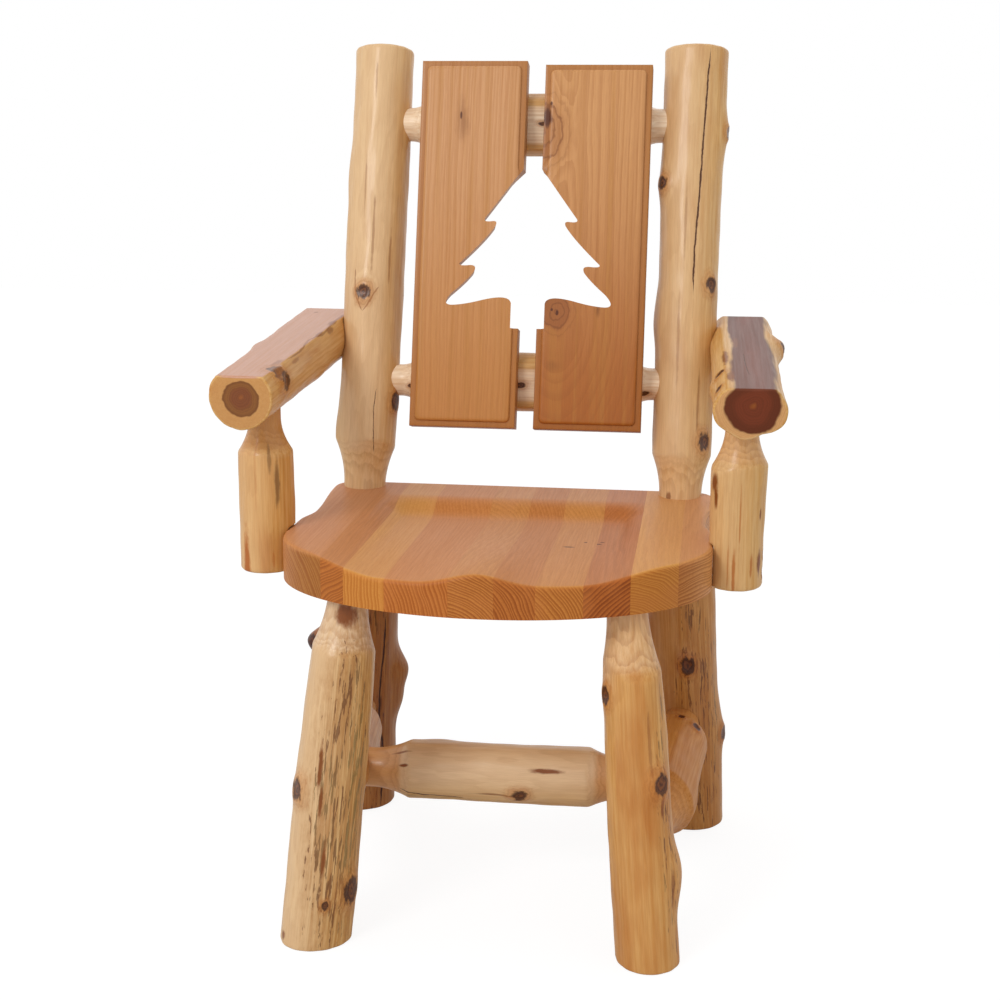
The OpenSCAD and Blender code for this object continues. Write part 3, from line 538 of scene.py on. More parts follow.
armRight = armLog(
    1, 81, (3.5, 0, 0.8, 190),
    [(305, 349, 11, 34, 24), (110, 170, 3, 26, 28), (0, 135, -4.5, 55, 24), (0, 60, -5, 50, 24),
     (20, 5, 2, 30, 24)],
    {"seed": 4, "swell": 0, "eyes": [(93, 214, 6), (29, 208, 5), (298, 349, 7)], "warmth": 0.3,
     "finish": {"coat": 0.1, "specular": 0.12}, "end": tone(224, 182, 138),
     "heart": 31.0, "heartEdge": 3.0, "heartBlur": 1.8, "heartLines": 0.04, "cutFibre": 0.2,
     "pith": (4, -6, 0), "heartTone": tone(122, 60, 38), "cutLines": 0.0,
     "cracks": [(0.8, (67, 272), (110, 266), (190, 262))],
     "stains": [(60, 232, 30, 5, 0.9), (160, 225, 45, 4, 0.9), (250, 245, 40, 5, 0.6)]})
# The rails' cut flats and necks are painted near white: their own pale wood, lifted further as painted light
# where the slats shade them.
railPaintedLightLook = {"cutShare": 1.0, "cutLines": 0.0, "cut": tone(255, 232, 200)}
logs = {
    "front_leg_left": legLog(
        "frontLeg", -1, (80, 80), (0.8, 20, 1.0, 40),
        [(181, 223, 3, 22, 26), (67, 339, 3, 20, 22), (300, 150, 2.5, 24, 26), (400, 200, -6, 110, 60),
         (400, 20, -5, 100, 60)],
        {"seed": 5, "neck": {"tenonR": 23, "neckLength": 92}, "warmth": 0.35, "paintedHighlightSide": (232, 0.75),
         "eyes": [(181, 219, 9.5), (67, 341, 12), (52, 292, 4)], "cut": tone(230, 200, 164),
         "flecks": {"angle": 302, "reach": 66, "amount": 1.5, "brown": 0.7},
         "stains": [(390, 281, 17, 26, 1.0), (215, 262, 34, 3.2, 1.0), (172, 268, 22, 2.8, 1.0),
                    (105, 282, 26, 3.2, 1.0), (6, 216, 7, 6, 0.9)]}),
    "front_leg_right": legLog(
        "frontLeg", 1, (75, 75), (0.6, 100, 1.2, 200),
        [(211, 313, 4, 22, 26), (312, 205, 3.5, 24, 26), (101, 2, 9, 36, 34), (400, 190, -9, 150, 60),
         (400, 10, -4, 110, 55)],
        {"seed": 6, "shade": tone(253, 240, 222), "neck": {"tenonR": 23, "neckLength": 118},
         "warmth": 0.75, "paintedHighlightSide": (240, 0.1), "eyes": [(211, 316, 9.5), (312, 213, 8)],
         "cut": tone(236, 206, 168), "cutLines": 0.18,
         "stains": [(184, 318, 16, 3, 0.9), (255, 300, 50, 2.5, 0.45), (90, 330, 30, 3, 0.7)],
         "flecks": {"angle": 330, "reach": 30, "amount": 0.6, "brown": 0.3}}),
    # The rear legs' and the side stretchers' shade multipliers are painted shade from the seat above them.
    "rear_leg_left": legLog(
        "rearLeg", -1, (98, 92), (1.0, 60, 1.4, 90),
        [(200, 10, 17, 26, 22), (158, 10, 9, 24, 20), (240, 195, 30, 22, 21), (90, 260, 3, 26, 28)],
        {"seed": 7, "warmth": 0.45, "shade": tone(202, 174, 152), "eyes": [(240, 200, 10)],
         "cracks": [(2.2, (2, 313), (80, 322), (160, 312), (240, 318), (298, 322))],
         "flecks": {"angle": 300, "reach": 50, "amount": 0.6, "brown": 0.3}}),
    "rear_leg_right": legLog(
        "rearLeg", 1, (98, 92), (1.0, 150, 1.4, 300),
        [(246, 281, 3, 22, 24), (130, 4, 4.5, 26, 24), (220, 0, -2, 60, 40), (300, 120, 3, 26, 26)],
        {"seed": 8, "warmth": 0.45, "shade": tone(230, 208, 184), "eyes": [(246, 281, 8.5), (130, 352, 7)],
         "flecks": {"angle": 300, "reach": 60, "amount": 0.9, "brown": 0.3}}),
    "side_stretcher_left": sideLog(
        -1, 80, 80, (0.8, 30, 1.0, 130), [(140, 290, 3, 22, 26), (250, 40, 3, 22, 26)],
        {"seed": 9, "warmth": 0.45, "shade": tone(240, 220, 196), "eyes": [(140, 290, 7), (250, 40, 7)]}),
    "side_stretcher_right": sideLog(
        1, 84, 75, (0.8, 110, 1.0, 250),
        [(251, 311, 2.5, 20, 24), (130, 20, 3, 28, 30), (105, 75, 7, 45, 45)],
        {"seed": 10, "warmth": 0.4, "shade": tone(230, 198, 160), "eyes": [(263, 281, 4), (251, 311, 5)],
         "finish": {"coat": 0.05, "specular": 0.12}}),
    "cross_stretcher": crossLog(
        74, (0.6, 0, 0.9, 10), [(231, 201, 2.5, 20, 26), (130, 60, 2, 22, 26)],
        {"seed": 11, "drop": (7, 4), "warmth": 0.2, "eyes": [(231, 201, 7)], "paintedHighlightSide": (150, 1.0),
         "cut": tone(210, 150, 92), "mould": (120, 222, 50, 7),
         "cracks": [(1.2, (79, 206), (120, 214), (163, 220))],
         "stains": [(264, 151, 25, 3.6, 1.0), (88, 152, 8, 2.6, 1.0), (83, 122, 14, 2.5, 0.8),
                    (200, 203, 30, 2.2, 0.7)]}),
    "back_post_left": postLeft,
    "back_post_right": postRight,
    "upper_back_rail": railLog(
        chair["upperRail"], 81, (0.5, 40, 1.0, 60), [(120, 60, 3, 22, 26), (300, 300, 3, 22, 26)],
        {"seed": 12, "hang": (5, 5, 22), "eyes": [(222, 176, 4)], **railPaintedLightLook}),
    "lower_back_rail": railLog(
        chair["lowerRail"], 77, (0.5, 80, 1.0, 210), [(290, 50, 3, 22, 26), (120, 320, 3, 22, 26)],
        {"seed": 13, "hang": (1, 4, 21), "eyes": [(206, 180, 5), (368, 205, 5), (60, 190, 4)], **railPaintedLightLook}),
    "arm_left": armLeft,
    "arm_right": armRight,
    "arm_post_left": armPostLog(
        -1, armLeft, (0.5, 70, 0.8, 30), [(110, 150, 2, 20, 26)],
        {"seed": 14, "below": 3, "neckLength": 56, "warmth": 0.4, "shade": tone(252, 242, 228),
         "cut": tone(196, 146, 92), "paintedHighlightSide": (232, 0.5),
         "stains": [(106, 308, 34, 4, 0.75, "soot"), (-8, 236, 72, 6.5, 1.0, "flame"),
                    (138, 292, 22, 3, 0.6, "soot"), (120, 262, 60, 2, 0.3, "flame"),
                    (14, 296, 14, 2, 0.5, "flame")]}),
    "arm_post_right": armPostLog(
        1, armRight, (0.5, 20, 0.8, 310), [(125, 215, 1.5, 20, 26), (60, 350, -4, 130, 50)],
        {"seed": 15, "below": 2, "neckLength": 63, "warmth": 0.2, "cut": tone(222, 176, 124),
         "paintedHighlightSide": (240, 0.3),
         "stains": [(124, 214, 13, 7, 1.0), (108, 218, 16, 4, 1.0), (85, 272, 46, 1.3, 0.7, "flame"),
                    (20, 262, 36, 2.4, 0.9, "flame"), (30, 250, 30, 1.4, 0.6, "flame"),
                    (28, 300, 16, 2.8, 0.8, "flame"), (30, 326, 18, 6, 1.0), (88, 324, 8, 2.4, 0.9)]}),
}


class Wire:
    # A value in a shader. Sums and products of wires make the nodes that work them out.
    def __init__(self, desk, socket):
        self.desk = desk
        self.socket = socket

    def work(self, operation, *values):
        make = self.desk.math if self.socket.type == "VALUE" else self.desk.vector
        return make(operation, *values)

    def __add__(self, other):
        return self.work("ADD", self, other)

    def __sub__(self, other):
        return self.work("SUBTRACT", self, other)

    def __rsub__(self, other):
        return self.work("SUBTRACT", other, self)

    def __mul__(self, other):
        return self.work("MULTIPLY", self, other)

    def __truediv__(self, other):
        return self.work("DIVIDE", self, other)

    def __abs__(self):
        return self.work("ABSOLUTE", self)


class NodeDesk:
    def __init__(self, owner):
        owner.use_nodes = True
        self.owner = owner
        self.tree = owner.node_tree
        self.tree.nodes.clear()
        self.colour = None

    def add(self, kind, inputs=(), **options):
        node = self.tree.nodes.new("ShaderNode" + kind)
        for option, value in options.items():
            setattr(node, option, value)
        for key, value in dict(inputs).items():
            if isinstance(value, Wire):
                value = value.socket
            if isinstance(value, bpy.types.NodeSocket):
                self.tree.links.new(value, node.inputs[key])
            else:
                node.inputs[key].default_value = value
        return node

    def read(self, kind, output, **options):
        return Wire(self, self.add(kind, **options).outputs[output])

    def math(self, operation, *values, clamp=False):
        node = self.add("Math", enumerate(values), operation=operation, use_clamp=clamp)
        return Wire(self, node.outputs[0])

    def vector(self, operation, *values):
        node = self.add("VectorMath", enumerate(values), operation=operation)
        return Wire(self, node.outputs[1 if operation == "LENGTH" else 0])

    def length(self, vector):
        return self.vector("LENGTH", vector)

    def attribute(self, name):
        return self.read("Attribute", "Vector", attribute_name=name)

    def split(self, vector):
        return [Wire(self, part) for part in self.add("SeparateXYZ", {0: vector}).outputs]

    def join(self, *parts):
        return Wire(self, self.add("CombineXYZ", enumerate(parts)).outputs[0])

    def noise(self, place, scale, detail=2.0, rough=0.5, output=0):
        node = self.add("TexNoise", {
            "Vector": place * scale, "Scale": 1.0, "Detail": detail, "Roughness": rough})
        return Wire(self, node.outputs[output])

    def wobble(self, place, grain):
        # A slow bend of the rings, in all directions.
        return (self.noise(place, *grain["bendNoise"], "Color") - (0.5, 0.5, 0.5)) * grain["bend"]

    def ramp(self, value, low, high, toLow=0.0, toHigh=1.0):
        node = self.add("MapRange", {
            "Value": value, "From Min": low, "From Max": high, "To Min": toLow, "To Max": toHigh},
            interpolation_type="SMOOTHSTEP")
        return Wire(self, node.outputs["Result"])

    def fade(self, value, low, high, full=1.0):
        return self.ramp(value, low, high, full, 0.0)

    def turnFrom(self, around, angle):
        # Degrees from an angle round a log, from -180 to 180.
        return self.math("MODULO", around + (900.0 - angle), 360.0) - 180.0

    def lateWood(self, depth, pitch, own, grain):
        # The dark late wood that ends each growth ring, in rings of uneven width.
        sway = self.noise(self.join(depth, *own), *grain["swayNoise"])
        ring = self.math("FRACT", depth / pitch + sway * grain["sway"])
        start, full, stop = grain["late"]
        return self.ramp(ring, start, full) * self.fade(ring, stop, 1.0)

    def mix(self, share, first, second, blend="MIX"):
        node = self.add("Mix", data_type="RGBA", blend_type=blend, inputs={0: share, 6: first, 7: second})
        return Wire(self, node.outputs[2])

    def paint(self, share, colour, blend="MIX"):
        self.colour = self.mix(share, self.colour, colour, blend)

    def lacquer(self, rough, height, finish):
        bump = self.add("Bump", {"Strength": finish["bump"], "Distance": mm, "Height": height})
        shader = self.add("BsdfPrincipled", {
            "Base Color": self.colour, "Roughness": rough, "Normal": bump.outputs[0],
            "Coat Weight": finish["coat"], "Coat Roughness": finish["coatRough"],
            "Specular IOR Level": finish["specular"], "Metallic": finish.get("metallic", 0.0)})
        self.add("OutputMaterial", {"Surface": shader.outputs[0]})
        return self.owner


finishes = {
    "log": {"coat": 0.25, "coatRough": 0.18, "specular": 0.22, "bump": 0.5},
    "seat": {"coat": 0.03, "coatRough": 0.25, "specular": 0.14, "bump": 0.5},
    "slat": {"coat": 0.15, "coatRough": 0.2, "specular": 0.2, "bump": 0.5},
    "steel": {"coat": 0.0, "coatRough": 0.1, "specular": 0.5, "bump": 0.3, "metallic": 1.0},
}


def spotReach(desk, skin, place, angle, halfLong, halfWide):
    # Distance from a spot on a log's surface: 1 at its edge. The spot is an ellipse along the log.
    around, along, wander, radius = skin
    across = desk.turnFrom(around, angle) * (math.radians(1) * radius / halfWide)
    return desk.length(desk.join(across, (along - place) * (1 / halfLong), 0.0)) + wander * 0.9


def crackLine(desk, skin, width, *path):
    # A line along a path on a log's surface, thinner towards its ends.
    around, along, wander, radius = skin
    low, high = path[0][0], path[-1][0]
    left = min(angle for place, angle in path) - 1
    right = max(angle for place, angle in path) + 1
    share = desk.math("DIVIDE", along - low, high - low, clamp=True)
    node = desk.add("FloatCurve", {"Value": share})
    line = node.mapping.curves[0]
    knots = [((place - low) / (high - low), (angle - left) / (right - left)) for place, angle in path]
    line.points[0].location = knots[0]
    line.points[1].location = knots[-1]
    for knot in knots[1:-1]:
        line.points.new(*knot)
    node.mapping.update()
    angle = Wire(desk, node.outputs[0]) * (right - left) + left
    across = abs(desk.turnFrom(around, angle) * (math.radians(1) * radius) + wander * 3.0)
    reach = desk.ramp(share, 0.0, 0.1) * desk.fade(share, 0.9, 1.0) * width
    return desk.fade(across, reach * 0.35, reach + 0.02)


# Rings and sway are millimetres, and late is where in a ring its dark wood starts, is full and stops.
# A noise is how fast it changes across and along the wood, its detail and its roughness.
logGrain = {
    "rings": 3.1, "late": (0.2, 0.86, 0.9), "sway": 2.5, "swayNoise": ((0.13, 1, 1), 1),
    "bend": (13, 13, 0), "bendNoise": ((0.03, 0.03, 0.006), 3, 0.55),
    "patch": ((0.022, 0.022, 0.005), 3, 0.55), "fibre": ((0.3, 0.3, 0.0075), 4, 0.62),
    "fine": ((1.3, 1.3, 0.05), 2, 0.5), "heartEdge": ((0.06, 0.06, 0.008), 2, 0.5),
    "wander": ((0.17, 0.17, 0.08), 3, 0.6), "dashes": ((0.3, 0.3, 0.024), 3, 0.65),
    "rough": (0.34, 0.46), "fibreBump": 0.4, "fineBump": 0.12,
}


def logMaterial(name, log):
    look = log["look"]
    seed = look["seed"]
    radius = log["lowR"]
    desk = NodeDesk(bpy.data.materials.new(name + "_wood"))
    wood = desk.attribute("wood")
    around, along, sawnEnd = desk.split(desk.attribute("skin"))
    onBark = 1.0 - sawnEnd
    body = wood + (seed * 61.0, seed * 17.0, seed * 431.0)
    # Growth rings round a wandering pith, which the flats and necks cut across.
    depth = desk.length(wood * (1, 1, 0) - look["pith"] + desk.wobble(body, logGrain))
    late = desk.lateWood(depth, logGrain["rings"], (seed * 9.0, 0.0), logGrain)
    patch, fibre, fine = (desk.noise(body, *logGrain[kind]) for kind in ("patch", "fibre", "fine"))
    desk.colour = desk.mix(desk.ramp(fibre, 0.3, 0.75), sapTones["pale"], sapTones["honey"])
    warmth = 0.34 * look["warmth"]
    desk.paint(desk.ramp(patch, 0.66 - warmth, 1.0 - warmth), sapTones["warm"])
    # A paler cream band on the side of each log that faces the key lamp: a painted highlight.
    if look["paintedHighlightSide"]:
        angle, amount = look["paintedHighlightSide"]
        turn = abs(desk.turnFrom(around, angle)) + patch * 40.0
        desk.paint(desk.fade(turn, 30.0, 115.0, amount), sapTones["paintedHighlightCream"])
    cut = desk.fade(desk.length(wood * (1, 1, 0)), radius - 6.5, radius - 2.5) * onBark
    if look["paintedSheenUp"]:  # faces that point up take the cut colour out to their edges, a painted sheen
        upward = desk.split(desk.read("NewGeometry", "Normal"))[2]
        cut = desk.math("MAXIMUM", cut, desk.ramp(upward, 0.8, 0.96) * onBark)
    bare = desk.mix(desk.ramp(fibre, 0.35, 0.7, 0.0, look["cutFibre"]), look["cut"], sapTones["honey"])
    desk.paint(cut * look["cutShare"], bare)
    desk.paint(sawnEnd * 0.75, look["end"])
    lines = cut * look["cutLines"] + look["barkLines"] + sawnEnd * look["endLines"]
    desk.paint(late * lines, sapTones["line"])
    heart = look["heart"]
    inside = depth + (desk.noise(body, *logGrain["heartEdge"]) - 0.5) * look["heartEdge"]
    belt = desk.ramp(inside, heart * 0.5, heart * 0.8) * look["beltShare"]
    core = desk.mix(belt, look["heartTone"], look["belt"])
    core = desk.mix(desk.ramp(inside, heart - 2.6, heart - 0.6, 0.0, 0.35), core, sapTones["heartLine"])
    core = desk.mix(late * (sawnEnd * 0.22 + look["heartLines"]), core, sapTones["heartLine"])
    core = desk.mix(desk.fade(inside, 1.2, 5.0, 0.6), core, sapTones["line"])
    desk.paint(desk.fade(inside, heart - look["heartBlur"], heart + look["heartBlur"]), core)
    # Saw ends drink in the lacquer and turn browner.
    desk.paint(sawnEnd * 0.7, sapTones["sawDust"], "MULTIPLY")
    wander = desk.noise(body, *logGrain["wander"]) - 0.5
    skin = (around, along, wander, radius)
    height = fibre * logGrain["fibreBump"] + fine * logGrain["fineBump"]
    if look["flecks"]:  # bast that the peeling left, in dashes
        flecks = look["flecks"]
        far = spotReach(desk, skin, log["length"] * 0.42, flecks["angle"], log["length"] * 0.62,
                        math.radians(flecks["reach"]) * radius)
        desk.paint(desk.fade(far, 0.35, 1.2) * desk.ramp(fibre, 0.3, 0.6) * flecks["brown"], sapTones["bast"])
        limit = desk.ramp(far, 0.5, 1.15) * 0.3 + (0.60 - 0.05 * flecks["amount"])
        dashes = desk.noise(body, *logGrain["dashes"])
        marks = desk.ramp(dashes, limit, limit + 0.045) * onBark * 0.75
        desk.paint(marks, desk.mix(desk.ramp(patch, 0.34, 0.5), sapTones["mould"], sapTones["fleck"]))
        height = height - marks * 0.5
    if look["mould"]:
        far = spotReach(desk, skin, *look["mould"])
        desk.paint(desk.fade(far, 0.3, 1.1) * desk.ramp(fibre, 0.4, 0.62), sapTones["mould"])
    for place, angle, halfLong, halfWide, strength, *kind in look["stains"]:
        far = spotReach(desk, skin, place, angle, halfLong, halfWide)
        desk.paint(desk.fade(far, 0.45, 1.1) * (onBark * strength), sapTones[kind[0] if kind else "stain"])
    for vein in look["veins"]:
        desk.paint(crackLine(desk, skin, *vein) * (onBark * 0.6), sapTones["stain"])
    for place, angle, size in look["eyes"]:
        far = spotReach(desk, skin, place, angle, size * 1.3, size) + wander * 0.7
        halo = desk.fade(far, 0.9, 2.7) * onBark
        rings = desk.math("SINE", far * 13.0) * 0.5 + 0.5
        desk.paint(halo * 0.5, sapTones["halo"])
        desk.paint(halo * rings * 0.3, sapTones["stain"])
        desk.paint(desk.fade(far, 0.86, 1.16) * onBark * 0.9, sapTones["rim"])
        face = desk.mix(rings, sapTones["eye"], sapTones["eyeLine"])
        desk.paint(desk.fade(far, 0.62, 0.86) * onBark, face)
        height = height - desk.fade(far, 0.85, 1.1, 0.5)
    for crack in look["cracks"]:
        gap = crackLine(desk, skin, *crack) * onBark
        desk.paint(gap, sapTones["crack"])
        height = height - gap * 2.5
    desk.paint(desk.ramp(fine, 0.3, 0.75, 0.0, 0.12), sapTones["dust"], "MULTIPLY")
    # Multiplies the whole log: painted shade for the logs under the seat, a plain tint for the others.
    desk.paint(1.0, look["shade"], "MULTIPLY")
    rough = desk.ramp(fibre, 0.2, 0.8, *logGrain["rough"])
    return desk.lacquer(rough, height, {**finishes["log"], **look["finish"]})


fit = {"besideSeat": 0.15, "besidePost": 0.2}


def againstSeat(side):
    # An arm post is cut flat where it stands against the seat's side.
    def carve(points):
        wall = halfWidth + fit["besideSeat"]
        inner = (points[..., 2] < chair["seatTop"]) & (side * points[..., 0] < wall)
        points[..., 0] = np.where(inner, side * wall, points[..., 0])
        return points
    return carve


def aroundPost(post):
    # An arm is scribed to the back post that it passes.
    def carve(points):
        axes, origin = logFrame(post)
        local = (points - origin) @ axes.T
        far = np.hypot(local[..., 0], local[..., 1])
        around = np.degrees(np.arctan2(local[..., 1], local[..., 0]))
        wall = logSurface(post, local[..., 2], around) + fit["besidePost"]
        out = np.where(far < wall, wall / np.maximum(far, 1), 1.0)
        local[..., 0] *= out
        local[..., 1] *= out
        return local @ axes + origin
    return carve


carves = {"arm_post_left": againstSeat(-1), "arm_post_right": againstSeat(1),
          "arm_left": aroundPost(postLeft), "arm_right": aroundPost(postRight)}
for name, log in logs.items():
    makeLog(name, log, carves.get(name))
print("logs made:", len(logs))


def frontEdge(x):
    return noseY - chair["nose"] * np.sqrt(np.maximum(0, 1 - (x / halfWidth) ** 2))


def arcDrop(distance, radius):
    # How far a round corner falls back, at a distance past its start.
    return radius - np.sqrt(radius ** 2 - np.clip(distance, 0, radius) ** 2)


def backEdge(x):
    return chair["seatBack"] - arcDrop(np.abs(x) - (halfWidth - chair["corner"]), chair["corner"])


def sideEdge(y):
    cornerY = chair["seatBack"] - chair["corner"]
    waistFrom = chair["armPostY"] + chair["armPostD"] / 2
    waistY = waistFrom + chair["waistBack"]
    nose = halfWidth * np.sqrt(np.maximum(0, 1 - (np.clip(noseY - y, 0, None) / chair["nose"]) ** 2))
    fall = halfWidth - chair["waist"] * (1 - np.cos(np.pi * (y - waistFrom) / chair["waistBack"])) / 2
    rise = halfWidth - chair["waist"] * (1 + np.cos(np.pi * (y - waistY) / (cornerY - waistY))) / 2
    corner = halfWidth - arcDrop(y - cornerY, chair["corner"])
    reach = [y < noseY, y < waistFrom, y < waistY, y < cornerY]
    return np.select(reach, [nose, halfWidth, fall, rise], corner)


def edgeGap(x, y):
    # How far inside the seat's outline a place is.
    cornerX = halfWidth - chair["corner"]
    cornerY = chair["seatBack"] - chair["corner"]
    flatness = np.sqrt(np.maximum(0.0001, 1 - (x / halfWidth) ** 2))
    front = (y - frontEdge(x)) / np.hypot(1, chair["nose"] * x / (halfWidth ** 2 * flatness))
    corner = chair["corner"] - np.hypot(x - cornerX, y - cornerY)
    inCorner = (x > cornerX) & (y > cornerY)
    elsewhere = np.minimum(sideEdge(y) - x, chair["seatBack"] - y)
    return np.select([inCorner, y < noseY], [corner, front], elsewhere)


def smooth(share):
    share = np.clip(share, 0, 1)
    return share * share * (3 - 2 * share)


def blend(first, second, share):
    return first + (second - first) * share


def seatHeight(x, y):
    # Two hollows with a ridge between them, a wall behind them, and an eased edge all round.
    scoopTop = chair["seatBack"] - chair["scoopIn"]
    scoopFoot = scoopTop - chair["scoopWall"]
    ahead = smooth((scoopFoot - y) / (scoopFoot - seatFront))
    reach = blend(chair["scoopBackWidth"], chair["hollowFrontWidth"], ahead) / 2
    side = smooth((reach - np.abs(x)) / blend(chair["backSlope"], chair["frontSlope"], ahead))
    wall = smooth((scoopTop - y) / chair["scoopWall"])
    ridge = np.exp(-(2 * x / chair["ridgeWidth"]) ** 2)
    saddle = side * wall * blend(chair["scoopDepth"], chair["hollowDepth"] * (1 - ridge), ahead)
    gap = np.maximum(edgeGap(np.abs(x), y), 0)
    return chair["seatTop"] - saddle - arcDrop(chair["ease"] - gap, chair["ease"])


seatMesh = {"pitch": 5.0, "easeSteps": 6, "edgeColumns": 12, "sharpAngle": 32}
boardGrain = {
    "late": (0.1, 0.85, 0.88), "sway": 3.0, "swayNoise": ((0.09, 1, 1), 1),
    "bend": (16, 0, 16), "bendNoise": ((0.016, 0.0045, 0.016), 2, 0.5),
    "fibre": ((0.5, 0.012, 0.5), 3, 0.6), "fine": ((1.8, 0.07, 1.8), 2, 0.5),
    "cloud": ((0.02, 0.006, 0.02), 2, 0.5), "rough": (0.42, 0.52), "lateBump": 0.08, "fineBump": 0.08,
}
boardTones = {
    "cloud": tone(208, 142, 92), "top": tone(206, 150, 114), "dust": tone(150, 100, 60),
    "mark": tone(96, 50, 26), "end": (242, 220, 184),
}
# Early and late wood, the heart's place beside and above the board's foot, the rings' width,
# what end grain is multiplied by, and knots as place, half width and half length.
boards = [
    {"width": 69, "early": (206, 142, 88), "late": (176, 104, 54), "heart": (-150, -70), "rings": 4.6,
     "slot": "pink_board", "end": (214, 206, 164)},
    {"width": 30, "early": (198, 130, 68), "late": (156, 92, 44), "heart": (90, -110), "rings": 3.8,
     "slot": "orange_board"},
    {"width": 50, "early": (216, 158, 88), "late": (190, 124, 56), "heart": (-190, 20), "rings": 4.0,
     "slot": "pale_board"},
    {"width": 73, "early": (204, 136, 76), "late": (166, 96, 42), "heart": (-230, -60), "rings": 4.2,
     "slot": "orange_board"},
    {"width": 50, "early": (206, 144, 80), "late": (154, 88, 38), "heart": (-46, -50), "rings": 3.4,
     "slot": "pink_board"},
    {"width": 45, "early": (198, 130, 70), "late": (150, 84, 36), "heart": (-120, -55), "rings": 3.4,
     "slot": "pink_board"},
    {"width": 51, "early": (208, 146, 80), "late": (164, 98, 42), "heart": (-64, -30), "rings": 3.6,
     "slot": "pink_board", "marks": [(83, -106, 8, 3.2), (101, -79, 2.6, 3)]},
    {"width": 50, "early": (190, 116, 58), "late": (132, 68, 28), "heart": (130, -125), "rings": 4.4,
     "slot": "orange_board", "marks": [(117, -86, 4.5, 3.4), (121, -76, 3.4, 2.6)]},
    {"width": 51, "early": (222, 164, 90), "late": (190, 126, 58), "heart": (-60, -80), "rings": 3.0,
     "slot": "pale_board", "end": (226, 200, 160)},
    {"width": 37, "early": (216, 154, 92), "late": (168, 104, 52), "heart": (10, -76), "rings": 3.4,
     "slot": "pale_board", "end": (216, 190, 148)},
]


def easedShares(length):
    # Shares of a length, close together over the eased edge at each end.
    steps = seatMesh["easeSteps"]
    near = [chair["ease"] * (1 - cosine(90 * k / steps)) / length for k in range(steps + 1)]
    inner = np.linspace(near[-1], 1 - near[-1], max(3, round(length / seatMesh["pitch"])))
    return near[:-1], inner, [1 - n for n in reversed(near[:-1])]


def boardGrid(left, right):
    rows = np.concatenate(easedShares(chair["seatDepth"]))
    if abs(left) < halfWidth and abs(right) < halfWidth:
        x = np.linspace(left, right, max(4, round((right - left) / seatMesh["pitch"])))
        x, v = np.meshgrid(x, rows, indexing="ij")
        return x, blend(frontEdge(x), backEdge(x), v)
    # An outer board: rows follow the front and back edges, and columns its joint and the side.
    mirror = -1 if abs(left) >= halfWidth else 1
    joint = right * mirror if mirror < 0 else left
    near, inner, far = easedShares(halfWidth - joint)
    u, v = np.meshgrid(np.concatenate([np.linspace(0, inner[-1], seatMesh["edgeColumns"]), far]), rows,
                       indexing="ij")
    frontX = (joint + halfWidth) / 2
    backX = halfWidth - chair["corner"] * (1 - cosine(45))
    sideY = blend(frontEdge(frontX), backEdge(backX), v)
    columns = blend(blend(frontEdge(joint), backEdge(joint), v), sideY, u)
    ends = blend(frontEdge(blend(joint, frontX, u)), backEdge(blend(joint, backX, u)), v)
    corners = blend(blend(frontEdge(joint), frontEdge(frontX), u),
                    blend(backEdge(joint), backEdge(backX), u), v)
    return blend(joint, sideEdge(sideY), u) * mirror, columns + ends - corners


def makeBoard(name, board, left, right):
    x, y = boardGrid(left, right)
    top = np.stack([x, y, seatHeight(x, y)], -1).reshape(-1, 3)
    under = top * (1, 1, 0) + (0, 0, seatUnder)
    verts = np.vstack([top, under])
    grid = np.arange(len(top)).reshape(x.shape)
    quads = np.stack([grid[:-1, :-1], grid[1:, :-1], grid[1:, 1:], grid[:-1, 1:]], -1).reshape(-1, 4)
    rim = [*grid[:, 0], *grid[-1, 1:], *grid[-2::-1, -1], *grid[0, -2:0:-1]]
    if x[0, 0] > x[-1, 0]:
        quads = quads[:, ::-1]
        rim = rim[::-1]
    low = quads[:, ::-1] + len(top)
    walls = [(q, p, p + len(top), q + len(top)) for p, q in zip(rim, rim[1:] + rim[:1])]
    mesh = bpy.data.meshes.new(name)
    mesh.from_pydata((verts * mm).tolist(), [], quads.tolist() + low.tolist() + np.array(walls).tolist())
    middle = (left + right) / 2
    store(mesh, "wood", "POINT", verts - (middle, 0, seatUnder))
    finishPiece(name, mesh, seatMesh["sharpAngle"], boardMaterial(name, board, middle, left))


